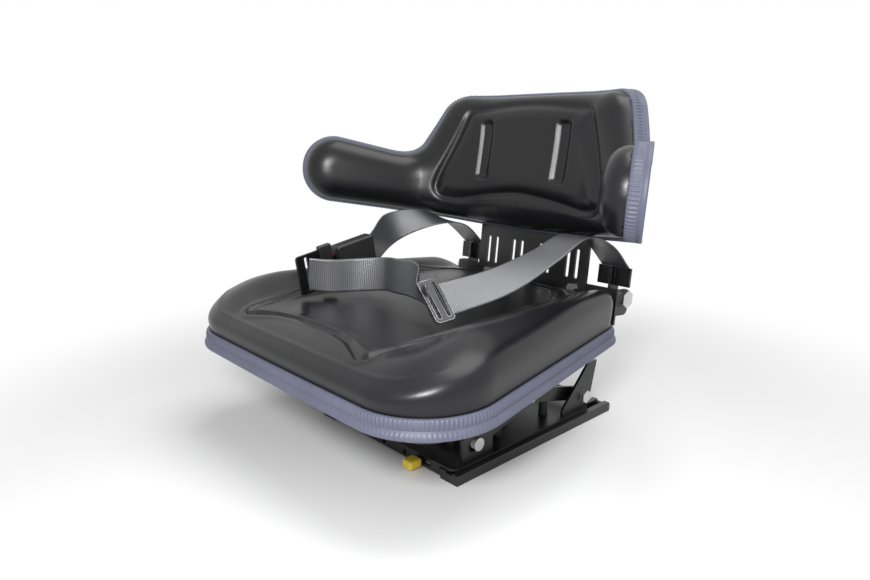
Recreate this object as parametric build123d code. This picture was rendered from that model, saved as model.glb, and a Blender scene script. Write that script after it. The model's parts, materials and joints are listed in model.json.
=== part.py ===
from build123d import *
import os
from math import asin, atan2, cos, degrees, hypot, radians, sin

# Operator seat: slide rails, scissor suspension, upholstered seat and wrap-around backrest, lap belt.
# Millimetres. +Z is up, the seat faces -Y, its left side is +X.
# The origin is on the underside, at the centre of the four mounting holes.

# Leading sizes of the base and the scissor
MOUNT_LENGTH = 300.0
RAIL_SPACING = 266.0
PIVOT_SPAN = 236.0

# Slide rails
RAIL_END = 20.0
RAIL_LENGTH = MOUNT_LENGTH + 2 * RAIL_END
RAIL_WIDTH = 32.0
RAIL_HEIGHT = 14.0
RAIL_WALL = 2.5
RAIL_SLOT = 12.0
MOUNT_HOLE = 8.5
END_PLUG = 6.0
SLIDE_CLEARANCE = 0.3
NECK_CLEARANCE = 0.6
RUNNER_LENGTH = 230.0
RUNNER_CENTRE = -15.0
SHOE_LENGTH = 32.0
SHOE_WALL = 1.5

# Tray that rides on the runners
TRAY_OVERHANG = 8.0
TRAY_FRONT_MARGIN = 50.0
TRAY_REAR_MARGIN = 10.0
TRAY_WIDTH = RAIL_SPACING + 2 * TRAY_OVERHANG
TRAY_FRONT = -PIVOT_SPAN / 2 - TRAY_FRONT_MARGIN
TRAY_REAR = PIVOT_SPAN / 2 + TRAY_REAR_MARGIN
TRAY_GAP = 1.0
TRAY_SHEET = 3.0
TRAY_CORNER = 12.0
LIP_END_GAP = 3.0
LIP_BOTTOM = 2.0
LIP_HOLE = 7.0
LIP_HOLES = (-95.0, -45.0, 0.0, 45.0)
WINDOW_WIDTH = 140.0
WINDOW_LENGTH = 64.0
WINDOW_OFFSET = 74.0
WINDOW_CORNER = 12.0

# Slide lever under the tray
LEVER_PIVOT = (76.0, -104.0)
LEVER_SHEET = 4.0
LEVER_WIDTH = 12.0
LEVER_GAP = 3.0
LEVER_TAIL = 58.0
LEVER_LEAD = 4.0
LEVER_REACH = LEVER_PIVOT[1] - TRAY_FRONT + LEVER_LEAD
LEVER_SWING = 12.0
LEVER_BOLT = 8.0
TOOTH_GAP = 0.5
TOOTH_PITCH = 12.0
TOOTH_WIDTH = 6.0
TOOTH_COUNT = 3
GRIP_LENGTH = 20.0
GRIP_WIDTH = 18.0
GRIP_HEIGHT = 12.0
GRIP_EDGE = 3.0

# Scissor suspension
PIVOT_HEIGHT = 36.0
SCISSOR_RISE = 62.0
TRAVEL = 36.0
ARM_WIDTH = 22.0
ARM_SHEET = 5.0
ARM_GAP = 2.0
FRAME_ARM_GAP = 4.0
ROD = 12.0
CENTRE_BOLT = 10.0
RUN_CLEARANCE = 0.05
FIX_CLEARANCE = 0.02
OPEN_CLEARANCE = 0.3
ROLLER = 16.0
ROLLER_WIDTH = 7.0
CLIP_DIAMETER = 18.0
CLIP_SHEET = 1.2
CLIP_GAP = 0.2
CHEEK_SHEET = 4.0
CHEEK_TOP = 87.0
CHEEK_BASE = 66.0
CHEEK_CREST = 22.0
CHEEK_LEAN = 14.7
CHEEK_REAR_MARGIN = 14.0
CHEEK_TOE = 8.0
GUIDE_LENGTH = 58.0
GUIDE_HEIGHT = 36.0
GUIDE_CORNER = 10.0
SLOT_MARGIN = 2.5
BOLT_HEAD = 18.0
BOLT_HEAD_HEIGHT = 7.0
STOP_DIAMETER = 14.0
STOP_OFFSET = 52.0
STOP_INSET = 4.0
STOP_GAP = 0.4
STOP_TAPER = 1.6

# Upper frame and springs
FRAME_WIDTH = 224.0
FRAME_FRONT_MARGIN = 18.0
FRAME_REAR_MARGIN = 19.0
FRAME_FRONT = -PIVOT_SPAN / 2 - FRAME_FRONT_MARGIN
FRAME_REAR = PIVOT_SPAN / 2 + FRAME_REAR_MARGIN
FRAME_SHEET = 3.0
FRAME_DEPTH = 28.0
FRAME_RISE = 14.0
SPRING_OFFSET = 55.0
SPRING_DIAMETER = 40.0
SPRING_WIRE = 5.0
SPRING_TURNS = 6.0
SPRING_SEAT_GAP = 0.2
SPRING_PILOT = 30.0
PILOT_HEIGHT = 5.0
SPRING_FACETS = 8
PAN_BOLT_X = 82.5
PAN_BOLT_Y = 37.0

# Seat pan and cushion
SEAT_WIDTH = 544.0
SEAT_REAR_WIDTH = 360.0
SEAT_FRONT = -325.0
SEAT_REAR = 126.0
SEAT_BOW = 3.0
FRONT_CORNER = 88.0
REAR_CORNER = 48.0
PAN_SHEET = 2.0
PAN_DEPTH = 30.0
PAN_INSET = 24.0
PAN_DRAFT = 18.0
PAN_RIM_INSET = 4.0
SEAT_GAP = 0.3
SEAT_HEIGHT = 201.0
BOLSTER_HEIGHT = 226.0
BOLSTER_SPREAD = 400.0
FLAT_WIDTH = 250.0
EDGE_HEIGHT = 200.0
FRONT_HEIGHT = 182.0
REAR_HEIGHT = 236.0
CREST_DEPTH = 60.0
RISE_DEPTH = 192.0
RISE_HEIGHT = 231.0
CUSHION_ROUND = 32.0
EDGE_ROUND = 30.0
BOLSTER_ROUND = 45.0
HOLLOW_ROUND = 70.0
CREST_ROUND = 90.0
RISE_ROUND = 200.0
STRIP_SHEET = 4.5
STRIP_HEIGHT = 20.0
STRIP_HOOK = 14.0
STRIP_GAP = 0.2

# Backrest, drawn upright and then leaned back about LEAN_AXIS
BACK_LEAN = 6.0
LEAN_AXIS = (140.0, 280.0)
BACK_FACE = 110.0
BACK_FLAT = 160.0
BACK_RADIUS = 140.0
BACK_TURN = 61.0
BACK_TOP = 488.0
BACK_BOTTOM = 277.0
BACK_TOP_WIDTH = 300.0
BACK_TOP_CORNER = 40.0
VALLEY_HEIGHT = 385.0
VALLEY_WIDTH = 376.0
VALLEY_CORNER = 20.0
WING_BOTTOM = 291.0
WING_LENGTH = 115.0
WING_TIP_HEIGHT = 354.0
WING_TIP_RADIUS = 49.0
PAD_DEPTH = 36.0
PAD_ROUND = 12.0
SHELL_SHEET = 2.0
SHELL_DEPTH = 12.0
BACK_STRIP = 3.0
BACK_STRIP_LAP = 5.0
NOTCH_GAP = 1.0

# Slotted back plate and lower cross plate
PLATE_SHEET = 4.0
PLATE_WIDTH = 224.0
PLATE_BOTTOM = 172.0
PLATE_TOP = 350.0
PLATE_CORNER = 14.0
SLOT_WIDTH = 7.0
SLOT_HEIGHT = 46.0
SLOT_CENTRE = 234.0
SLOT_PAIRS = (-83.0, -28.0, 28.0, 83.0)
SLOT_PAIR_GAP = 17.0
CROSS_WIDTH = 330.0
CROSS_TOP = 206.0
CROSS_BOTTOM = 152.0
STEM_WIDTH = 200.0
STEM_BOTTOM = 86.0
STEM_BOLT_X = 66.0
EAR_DEPTH = 30.0
EAR_BOTTOM = 166.0
EAR_CORNER = 10.0
BACK_BOLT = 8.0
BACK_BOLTS = ((-70.0, 312.0), (70.0, 312.0), (-70.0, 336.0), (70.0, 336.0))
CROSS_BOLTS = ((-88.0, 196.0), (88.0, 196.0), (-66.0, 185.0), (66.0, 185.0))
SMALL_HEAD = 13.0
SMALL_HEAD_HEIGHT = 5.5

# Lap belt
BELT_WIDTH = 48.0
BELT_SHEET = 2.4
ANCHOR_BOLT = 11.0
ANCHOR_HEAD = 24.0
ANCHOR_HEAD_HEIGHT = 9.0
ANCHOR_SEAT = 192.0
ANCHOR_SETBACK = 14.0
ANCHOR_SHEET = 3.5
ANCHOR_TAB = 24.0
ANCHOR_RISE = 46.0
BUSH_DIAMETER = 20.0
BUSH_LENGTH = 13.0
BELT_GAP = 0.3
BELT_STEPS = 22
HARDWARE_SHEET = 3.0
ADJUSTER_LENGTH = 60.0
ADJUSTER_WIDTH = 26.0
ADJUSTER_SLOT = 5.0
ADJUSTER_LEAD = 8.0
BELT_SLOT_ROOM = 2.0
# The belt's route: centre points of the webbing, each with the direction across it there
FLAT = (1, 0, 0)
ON_EDGE = (0.0, 0.0, -1.0)
LEFT_POINTS = [
    ((147, 118, 274), FLAT),
    ((145, 60, 292), FLAT),
    ((139, 4, 272), (0.98, -0.1, -0.18)),
    ((130, -80, 247), (0.8, -0.25, -0.55)),
]
LEFT_END = (112.0, -164.0, 234.0)
LEFT_ACROSS = (0.62, -0.35, -0.70)
LEFT_ALONG = (-0.24, -0.96, -0.14)
LAP_POINTS = [
    ((50, -149, 244), (0.42, -0.42, -0.80)),
    ((-12, -134, 240), (0.3, -0.3, -0.90)),
    ((-54, -122, 234), (0.1, -0.15, -0.98)),
    ((-84, -144, 231), (0.05, -0.05, -0.99)),
    ((-103, -181, 232), ON_EDGE),
]
RIGHT_POINTS = [
    ((-149, 118, 274), FLAT),
    ((-158, 66, 288), (0.9, 0, -0.43)),
    ((-171, 4, 281), (0.55, -0.1, -0.83)),
]

# Belt fittings
TONGUE_BAR = (-122.0, -219.0, 232.5)
TONGUE_HEIGHT = 58.0
TONGUE_NECK = 24.0
TONGUE_SHOULDER = 62.0
TONGUE_DEPTH = 18.0
TONGUE_SLOT = 16.0
GRIP_SHEET = 9.0
GRIP_RUN = 22.0
GRIP_ROUND = 2.2
BUCKLE_MOUTH = (-127.0, -152.0, 243.0)
BUCKLE_LENGTH = 72.0
BUCKLE_HEIGHT = 52.0
BUCKLE_SHEET = 22.0
BUCKLE_ROUND = 4.0
BUTTON_HEIGHT = 30.0
BUTTON_SHEET = 6.0
BUTTON_DEPTH = 12.0
BUTTON_OUT = 3.5
BUTTON_OFFSET = 6.0
BUTTON_GAP = 0.3
BUTTON_ROUND = 0.9
MOUTH_ROOM = 1.2

# Worked out from the sizes above
rail_x = RAIL_SPACING / 2
tray_low = RAIL_HEIGHT + TRAY_GAP
tray_high = tray_low + TRAY_SHEET
arm_length = hypot(PIVOT_SPAN, SCISSOR_RISE)
arm_tilt = degrees(atan2(SCISSOR_RISE, PIVOT_SPAN))
roller_travel = arm_length * cos(asin((SCISSOR_RISE - TRAVEL) / arm_length)) - PIVOT_SPAN
upper_pivot = PIVOT_HEIGHT + SCISSOR_RISE
frame_high = upper_pivot + FRAME_RISE
frame_low = frame_high - FRAME_DEPTH
frame_x = FRAME_WIDTH / 2
inner_arm_x = frame_x + FRAME_ARM_GAP
outer_arm_x = inner_arm_x + ARM_SHEET + ARM_GAP
cheek_x = outer_arm_x + ARM_SHEET + ARM_GAP
rim_high = frame_high + PAN_DEPTH
shell_rear = BACK_FACE + PAD_DEPTH + SEAT_GAP + SHELL_SHEET
lean = Pos(0, *LEAN_AXIS) * Rot(-BACK_LEAN, 0, 0) * Pos(0, -LEAN_AXIS[0], -LEAN_AXIS[1])

os.makedirs("parts", exist_ok=True)


def save(name, shape):
    """Writes one node as parts/NAME.step."""
    export_step(shape, f"parts/{name}.step")


def both_sides(shape):
    """The shape with its mirror image across the seat's middle plane."""
    return Part() + [shape, mirror(shape, about=Plane.YZ)]


def save_pair(name, shape):
    """Writes a left-hand piece and its mirrored right-hand twin as two nodes."""
    save(f"{name}_left", shape)
    save(f"{name}_right", mirror(shape, about=Plane.YZ))


def side_plate(sketch, x, sheet):
    """A sketch drawn in Y and Z, made into a plate from x outwards."""
    return Pos(x, 0, 0) * extrude(Plane.YZ * sketch, sheet)


def hex_bolt(diameter, across, head, length):
    """A hexagon bolt with its head on +Z and its shank down from the origin."""
    hexagon = RegularPolygon(across / 2, 6, major_radius=False)
    return extrude(hexagon, head) + Pos(0, 0, -length / 2) * Cylinder(diameter / 2, length)


def bar_x(diameter, x0, x1, y, z):
    """A round bar along X from x0 to x1."""
    return Pos((x0 + x1) / 2, y, z) * Rot(0, 90, 0) * Cylinder(diameter / 2, x1 - x0)


def tube_x(outer, bore, x0, x1, y, z):
    """A round tube along X from x0 to x1."""
    return bar_x(outer, x0, x1, y, z) - bar_x(bore, x0, x1, y, z)


# Slide rails, plugs, runners and glide shoes


def slide_rail():
    """A C-shaped rail, open along its top, with a mounting hole near each end."""
    inside = Rectangle(RAIL_WIDTH - 2 * RAIL_WALL, RAIL_HEIGHT - 2 * RAIL_WALL)
    slot = Pos(0, RAIL_HEIGHT / 2) * Rectangle(RAIL_SLOT, 2 * RAIL_WALL)
    section = RectangleRounded(RAIL_WIDTH, RAIL_HEIGHT, RAIL_WALL / 2) - inside - slot
    rail = extrude(Plane.XZ * section, RAIL_LENGTH / 2, both=True)
    for y in (-MOUNT_LENGTH / 2, MOUNT_LENGTH / 2):
        rail -= Pos(0, y, -RAIL_HEIGHT / 2) * Cylinder(MOUNT_HOLE / 2, 3 * RAIL_WALL)
    return Pos(rail_x, 0, RAIL_HEIGHT / 2) * rail


def end_plugs():
    """Four plastic plugs, one in each end of the two rails."""
    plug = Box(
        RAIL_WIDTH - 2 * RAIL_WALL - SLIDE_CLEARANCE,
        END_PLUG,
        RAIL_HEIGHT - 2 * RAIL_WALL - SLIDE_CLEARANCE,
    )
    y = (RAIL_LENGTH - END_PLUG) / 2
    return both_sides(Part() + [Pos(rail_x, s * y, RAIL_HEIGHT / 2) * plug for s in (-1, 1)])


runner_width = RAIL_WIDTH - 2 * (RAIL_WALL + SLIDE_CLEARANCE + SHOE_WALL)
runner_height = RAIL_HEIGHT - 2 * (RAIL_WALL + SLIDE_CLEARANCE + SHOE_WALL)
neck_width = RAIL_SLOT - 2 * NECK_CLEARANCE


def slide_runner():
    """A T-shaped bar inside the rail, with its neck up through the slot to the tray."""
    neck_height = tray_low - RAIL_HEIGHT / 2
    section = Rectangle(runner_width, runner_height)
    section += Pos(0, neck_height / 2) * Rectangle(neck_width, neck_height)
    runner = extrude(Plane.XZ * section, RUNNER_LENGTH / 2, both=True)
    return Pos(rail_x, RUNNER_CENTRE, RAIL_HEIGHT / 2) * runner


def glide_shoes():
    """Four nylon shoes that wrap the runners' ends and slide in the rails."""
    outer = Rectangle(runner_width + 2 * SHOE_WALL, runner_height + 2 * SHOE_WALL)
    gap = Pos(0, RAIL_HEIGHT / 2) * Rectangle(neck_width, RAIL_HEIGHT)
    section = outer - Rectangle(runner_width, runner_height) - gap
    shoe = extrude(Plane.XZ * section, SHOE_LENGTH / 2, both=True)
    y = (RUNNER_LENGTH - SHOE_LENGTH) / 2
    places = [Pos(rail_x, RUNNER_CENTRE + s * y, RAIL_HEIGHT / 2) for s in (-1, 1)]
    return both_sides(Part() + [place * shoe for place in places])


save_pair("slide_rail", slide_rail())
save("rail_end_plugs", end_plugs())
save_pair("slide_runner", slide_runner())
save("glide_shoes", glide_shoes())

# Tray and slide lever

lever_high = tray_low - LEVER_GAP
lip_width = RAIL_SPACING - RAIL_WIDTH - 2 * LIP_END_GAP


def base_tray():
    """Folded sheet on the runners: two windows, spring pilots and a turned-down front lip."""
    length = TRAY_REAR - TRAY_FRONT
    window = RectangleRounded(WINDOW_WIDTH, WINDOW_LENGTH, WINDOW_CORNER)
    plate = Pos(0, (TRAY_REAR + TRAY_FRONT) / 2) * RectangleRounded(TRAY_WIDTH, length, TRAY_CORNER)
    plate -= [Pos(0, s * WINDOW_OFFSET) * window for s in (-1, 1)]
    plate -= Pos(*LEVER_PIVOT) * Circle(LEVER_BOLT / 2 + FIX_CLEARANCE)
    tray = Pos(0, 0, tray_low) * extrude(plate, TRAY_SHEET)
    lip_height = tray_low - LIP_BOTTOM
    lip_middle = (tray_low + LIP_BOTTOM) / 2
    lip = Pos(0, lip_middle) * Rectangle(lip_width, lip_height)
    lip -= [Pos(x, lip_middle) * Circle(LIP_HOLE / 2) for x in LIP_HOLES]
    swing = (LEVER_PIVOT[1] - TRAY_FRONT) * sin(radians(LEVER_SWING))
    slot_width = LEVER_WIDTH + swing + 2 * LEVER_GAP
    slot_x = LEVER_PIVOT[0] + (swing - LEVER_GAP) / 2
    slot = Rectangle(slot_width, LEVER_SHEET + 2 * TRAY_GAP)
    lip -= Pos(slot_x, lever_high - LEVER_SHEET / 2) * slot
    tray += Pos(0, TRAY_FRONT + TRAY_SHEET, 0) * extrude(Plane.XZ * lip, TRAY_SHEET)
    pilot = Cylinder(SPRING_PILOT / 2, PILOT_HEIGHT)
    for s in (-1, 1):
        tray += Pos(s * SPRING_OFFSET, 0, tray_high + PILOT_HEIGHT / 2) * pilot
    return tray


def slide_lever():
    """Flat lever under the tray: pull bar to the front, toothed tail beside the left rail."""
    x, y = LEVER_PIVOT
    bar = Pos(x, y + (LEVER_TAIL - LEVER_REACH) / 2) * Rectangle(LEVER_WIDTH, LEVER_TAIL + LEVER_REACH)
    bar += Pos(x, y) * Circle(LEVER_WIDTH)
    reach = rail_x - RAIL_WIDTH / 2 - TOOTH_GAP - x
    for i in range(TOOTH_COUNT):
        tooth_y = y + LEVER_TAIL - TOOTH_WIDTH / 2 - i * TOOTH_PITCH
        bar += Pos(x + reach / 2, tooth_y) * Rectangle(reach, TOOTH_WIDTH)
    bar -= Pos(x, y) * Circle(LEVER_BOLT / 2 + RUN_CLEARANCE)
    return Pos(0, 0, lever_high - LEVER_SHEET) * extrude(bar, LEVER_SHEET)


def lever_grip():
    """Moulded grip pushed on the lever's front end."""
    x, y = LEVER_PIVOT
    front = y - LEVER_REACH
    grip = fillet(Box(GRIP_WIDTH, GRIP_LENGTH, GRIP_HEIGHT).edges(), GRIP_EDGE)
    return Pos(x, front - GRIP_LENGTH / 2, lever_high - LEVER_SHEET / 2) * grip


def lever_bolt():
    """Shoulder bolt that hangs the lever under the tray."""
    length = tray_high - lever_high + LEVER_SHEET
    bolt = hex_bolt(LEVER_BOLT, SMALL_HEAD, SMALL_HEAD_HEIGHT, length)
    washer = Cylinder(LEVER_WIDTH / 2, CLIP_SHEET)
    collar = Cylinder(LEVER_WIDTH / 2, LEVER_GAP - CLIP_GAP)
    bolt += Pos(0, 0, -length - CLIP_SHEET / 2 - CLIP_GAP / 2) * washer
    bolt += Pos(0, 0, -length - CLIP_GAP / 4) * Cylinder(LEVER_BOLT / 2, CLIP_GAP / 2)
    bolt += Pos(0, 0, -TRAY_SHEET - (LEVER_GAP - CLIP_GAP) / 2) * collar
    return Pos(LEVER_PIVOT[0], LEVER_PIVOT[1], tray_high) * bolt


save("base_tray", base_tray())
save("slide_lever", slide_lever())
save("lever_grip", lever_grip())
save("lever_pivot_bolt", lever_bolt())

# Cheeks, guides and scissor arms

front_pivot = -PIVOT_SPAN / 2
rear_pivot = PIVOT_SPAN / 2


def rear_cheek():
    """Gusset on the tray's rear corner that holds the lower pivot; its rear edge leans back."""
    rise = CHEEK_TOP - tray_high
    rear = rear_pivot + CHEEK_REAR_MARGIN
    shift = rise * sin(radians(CHEEK_LEAN)) / cos(radians(CHEEK_LEAN))
    corners = [
        (rear - CHEEK_BASE, tray_high),
        (rear, tray_high),
        (rear + shift, CHEEK_TOP),
        (rear + shift - CHEEK_CREST, CHEEK_TOP),
        (rear - CHEEK_BASE, tray_high + CHEEK_TOE),
    ]
    plate = make_face(Polyline(*corners, close=True))
    plate -= Pos(rear_pivot, PIVOT_HEIGHT) * Circle(ROD / 2 + FIX_CLEARANCE)
    return side_plate(plate, cheek_x, CHEEK_SHEET)


def roller_slot(z):
    """The long slot a roller runs in, with the roller's rest place near its rear end."""
    length = roller_travel + 2 * SLOT_MARGIN
    middle = front_pivot + SLOT_MARGIN - length / 2
    return Pos(middle, z) * SlotCenterToCenter(length, ROLLER + 2 * OPEN_CLEARANCE)


def front_guide():
    """Slotted plate on the tray's front corner, where the lower roller runs."""
    plate = Pos(front_pivot, tray_high + GUIDE_HEIGHT / 2) * Rectangle(GUIDE_LENGTH, GUIDE_HEIGHT)
    plate = fillet(plate.vertices().group_by(Axis.Y)[-1], GUIDE_CORNER)
    return side_plate(plate - roller_slot(PIVOT_HEIGHT), cheek_x, CHEEK_SHEET)


def scissor_arm(x, tilt, rear_hole, front_hole, centre_hole):
    """A flat arm with rounded ends and three holes, tilted about the scissor's middle."""
    arm = SlotCenterToCenter(arm_length, ARM_WIDTH)
    holes = [(arm_length / 2, rear_hole), (-arm_length / 2, front_hole), (0, centre_hole)]
    for place, diameter in holes:
        arm -= Pos(place, 0) * Circle(diameter / 2)
    return side_plate(Pos(0, PIVOT_HEIGHT + SCISSOR_RISE / 2) * Rot(0, 0, tilt) * arm, x, ARM_SHEET)


def clipped_rod(y, z, reach):
    """A round rod across the seat with a thin clip just inside each end."""
    clip = tube_x(CLIP_DIAMETER, ROD, reach - CLIP_GAP - CLIP_SHEET, reach - CLIP_GAP, y, z)
    return bar_x(ROD, -reach, reach, y, z) + both_sides(clip)


def pivot_bolt():
    """The long rear pivot rod with a hexagon head outside each cheek."""
    reach = cheek_x + CHEEK_SHEET
    head = Pos(reach, rear_pivot, PIVOT_HEIGHT) * Rot(0, 90, 0) * extrude(
        RegularPolygon(BOLT_HEAD / 2, 6, major_radius=False), BOLT_HEAD_HEIGHT
    )
    return bar_x(ROD, -reach, reach, rear_pivot, PIVOT_HEIGHT) + both_sides(head)


def centre_pivot():
    """Bolt through both arms where they cross, fixed in the inner one."""
    z = PIVOT_HEIGHT + SCISSOR_RISE / 2
    outer_face = outer_arm_x + ARM_SHEET + CLIP_GAP
    bolt = bar_x(CENTRE_BOLT, inner_arm_x - FRAME_ARM_GAP / 2, outer_face + CLIP_SHEET, 0, z)
    bolt += bar_x(CLIP_DIAMETER, outer_face, outer_face + CLIP_SHEET, 0, z)
    bolt += bar_x(CLIP_DIAMETER, inner_arm_x - FRAME_ARM_GAP / 2, inner_arm_x - CLIP_GAP, 0, z)
    return bolt


def rollers(x, y, z):
    """A pair of nylon rollers, one on each end of an axle."""
    return both_sides(tube_x(ROLLER, ROD + 2 * RUN_CLEARANCE, x, x + ROLLER_WIDTH, y, z))


pivot_hole = ROD + 2 * RUN_CLEARANCE
fixed_hole = ROD + 2 * FIX_CLEARANCE
lower_roller_x = cheek_x + (CHEEK_SHEET - ROLLER_WIDTH) / 2
upper_roller_x = frame_x - (FRAME_SHEET + ROLLER_WIDTH) / 2

save_pair("rear_cheek", rear_cheek())
save_pair("front_guide", front_guide())
save_pair(
    "inner_arm",
    scissor_arm(inner_arm_x, -arm_tilt, pivot_hole, fixed_hole, CENTRE_BOLT + 2 * FIX_CLEARANCE),
)
save_pair(
    "outer_arm",
    scissor_arm(outer_arm_x, arm_tilt, pivot_hole, fixed_hole, CENTRE_BOLT + 2 * OPEN_CLEARANCE),
)
save("rear_pivot_bolt", pivot_bolt())
save("upper_pivot_rod", clipped_rod(rear_pivot, upper_pivot, cheek_x - CLIP_GAP))
save("upper_axle", clipped_rod(front_pivot, upper_pivot, outer_arm_x - CLIP_GAP))
lower_axle_reach = lower_roller_x + ROLLER_WIDTH + CLIP_SHEET + 2 * CLIP_GAP
save("lower_axle", clipped_rod(front_pivot, PIVOT_HEIGHT, lower_axle_reach))
save("upper_rollers", rollers(upper_roller_x, front_pivot, upper_pivot))
save("lower_rollers", rollers(lower_roller_x, front_pivot, PIVOT_HEIGHT))
save("centre_pivots", both_sides(centre_pivot()))

# Upper frame, springs and bump stops


def upper_frame():
    """Folded channel under the seat pan: slotted side walls, a rear wall and a window."""
    length = FRAME_REAR - FRAME_FRONT
    middle = (FRAME_REAR + FRAME_FRONT) / 2
    plate = Pos(0, middle) * Rectangle(FRAME_WIDTH, length)
    window = RectangleRounded(WINDOW_WIDTH, WINDOW_LENGTH, WINDOW_CORNER)
    plate -= [Pos(0, s * WINDOW_OFFSET) * window for s in (-1, 1)]
    plate -= [Pos(x, y) * Circle(BACK_BOLT / 2 + FIX_CLEARANCE) for x, y in pan_bolt_places]
    frame = Pos(0, 0, frame_high - FRAME_SHEET) * extrude(plate, FRAME_SHEET)
    wall = Pos(middle, frame_high - FRAME_DEPTH / 2) * Rectangle(length, FRAME_DEPTH)
    wall -= roller_slot(upper_pivot)
    wall -= Pos(rear_pivot, upper_pivot) * Circle(fixed_hole / 2)
    frame += both_sides(side_plate(wall, frame_x - FRAME_SHEET, FRAME_SHEET))
    rear = Pos(0, frame_high - FRAME_DEPTH / 2) * Rectangle(FRAME_WIDTH, FRAME_DEPTH)
    rear -= [Pos(x, stem_bolt_height) * Circle(BACK_BOLT / 2 + FIX_CLEARANCE) for x in stem_bolt_places]
    frame += Pos(0, FRAME_REAR, 0) * extrude(Plane.XZ * rear, FRAME_SHEET)
    pilot = Cylinder(SPRING_PILOT / 2, PILOT_HEIGHT)
    for s in (-1, 1):
        frame += Pos(s * SPRING_OFFSET, 0, frame_high - FRAME_SHEET - PILOT_HEIGHT / 2) * pilot
    return frame


def coil_spring():
    """Round wire coiled between the tray and the upper frame."""
    bottom = tray_high + SPRING_SEAT_GAP + SPRING_WIRE / 2
    height = frame_high - FRAME_SHEET - SPRING_SEAT_GAP - SPRING_WIRE / 2 - bottom
    path = Helix(height / SPRING_TURNS, height, SPRING_DIAMETER / 2)
    section = Plane(path @ 0, z_dir=path % 0) * RegularPolygon(SPRING_WIRE / 2, SPRING_FACETS)
    return Pos(SPRING_OFFSET, 0, bottom) * sweep(section, path, is_frenet=True)


def bump_stops():
    """Four rubber stops on the tray, under the upper frame's side walls."""
    height = frame_low - TRAVEL - STOP_GAP - tray_high
    stop = Cone(STOP_DIAMETER / 2, STOP_DIAMETER / 2 - STOP_TAPER, height)
    x = frame_x - STOP_INSET
    places = [Pos(x, s * STOP_OFFSET, tray_high + height / 2) for s in (-1, 1)]
    return both_sides(Part() + [place * stop for place in places])


pan_bolt_places = [(sx * PAN_BOLT_X, sy * PAN_BOLT_Y) for sx in (-1, 1) for sy in (-1, 1)]
stem_bolt_places = (-STEM_BOLT_X, STEM_BOLT_X)
stem_bolt_height = frame_high - FRAME_DEPTH / 2

save("upper_frame", upper_frame())
save_pair("suspension_spring", coil_spring())
save("bump_stops", bump_stops())

# Seat pan, cushion and edge strip


def seat_outline(grow=0.0):
    """Plan of the seat: bowed front edge, round front corners, sides that narrow to the rear."""
    half = SEAT_WIDTH / 2
    rear = SEAT_REAR_WIDTH / 2
    front = ThreePointArc((-half, SEAT_FRONT), (0, SEAT_FRONT - SEAT_BOW), (half, SEAT_FRONT))
    rest = Polyline((half, SEAT_FRONT), (rear, SEAT_REAR), (-rear, SEAT_REAR), (-half, SEAT_FRONT))
    outline = make_face(Curve() + [front, rest])
    by_depth = outline.vertices().group_by(Axis.Y)
    outline = fillet(by_depth[0], FRONT_CORNER)
    outline = fillet(outline.vertices().group_by(Axis.Y)[-1], REAR_CORNER)
    return offset(outline, grow) if grow else outline


def level(sketch, z):
    """A plan sketch lifted to height z."""
    return Pos(0, 0, z) * sketch


def dish(inset, low, high):
    """A tapered block with the seat's plan, narrower at its bottom."""
    return loft([level(seat_outline(-inset - PAN_DRAFT), low), level(seat_outline(-inset), high)])


def seat_pan():
    """Pressed sheet dish with a flat rim, bolted down on the upper frame."""
    pan = dish(PAN_INSET, frame_high, rim_high)
    rim = level(extrude(seat_outline(-PAN_RIM_INSET), -PAN_SHEET), rim_high)
    pan = pan + rim - dish(PAN_INSET + PAN_SHEET, frame_high + PAN_SHEET, rim_high)
    for x, y in pan_bolt_places:
        pan -= Pos(x, y, frame_high) * Cylinder(BACK_BOLT / 2 + FIX_CLEARANCE, 4 * PAN_SHEET)
    return pan


def seat_cushion():
    """Foam block in its cover: side bolsters, lower middle, front edge that rolls down."""
    base = rim_high + SEAT_GAP
    reach = SEAT_WIDTH / 2 + SEAT_BOW
    across = [
        (-reach, base),
        (-reach, EDGE_HEIGHT),
        (-BOLSTER_SPREAD / 2, BOLSTER_HEIGHT),
        (-FLAT_WIDTH / 2, SEAT_HEIGHT),
        (FLAT_WIDTH / 2, SEAT_HEIGHT),
        (BOLSTER_SPREAD / 2, BOLSTER_HEIGHT),
        (reach, EDGE_HEIGHT),
        (reach, base),
    ]
    front = SEAT_FRONT - 2 * SEAT_BOW
    along = [
        (front, base),
        (front, FRONT_HEIGHT),
        (front + CREST_DEPTH, SEAT_HEIGHT),
        (front + RISE_DEPTH, RISE_HEIGHT),
        (SEAT_REAR + SEAT_BOW, REAR_HEIGHT),
        (SEAT_REAR + SEAT_BOW, base),
    ]
    half_radii = (0, EDGE_ROUND, BOLSTER_ROUND, HOLLOW_ROUND)
    along_radii = (0, EDGE_ROUND, CREST_ROUND, RISE_ROUND, 0, 0)
    across_face = make_face(FilletPolyline(*across, radius=half_radii + half_radii[::-1], close=True))
    along_face = make_face(FilletPolyline(*along, radius=along_radii, close=True))
    depth = SEAT_REAR - SEAT_FRONT
    block = extrude(seat_outline(), BOLSTER_HEIGHT - base)
    cushion = level(fillet(block.edges().group_by(Axis.Z)[-1], CUSHION_ROUND), base)
    cushion &= extrude(Plane.XZ * across_face, depth * 2, both=True)
    cushion &= extrude(Plane.YZ * along_face, SEAT_WIDTH, both=True)
    plug_inset = PAN_INSET + PAN_SHEET + SEAT_GAP
    cushion += dish(plug_inset, frame_high + PAN_SHEET + SEAT_GAP, rim_high + SEAT_GAP)
    return cushion


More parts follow.
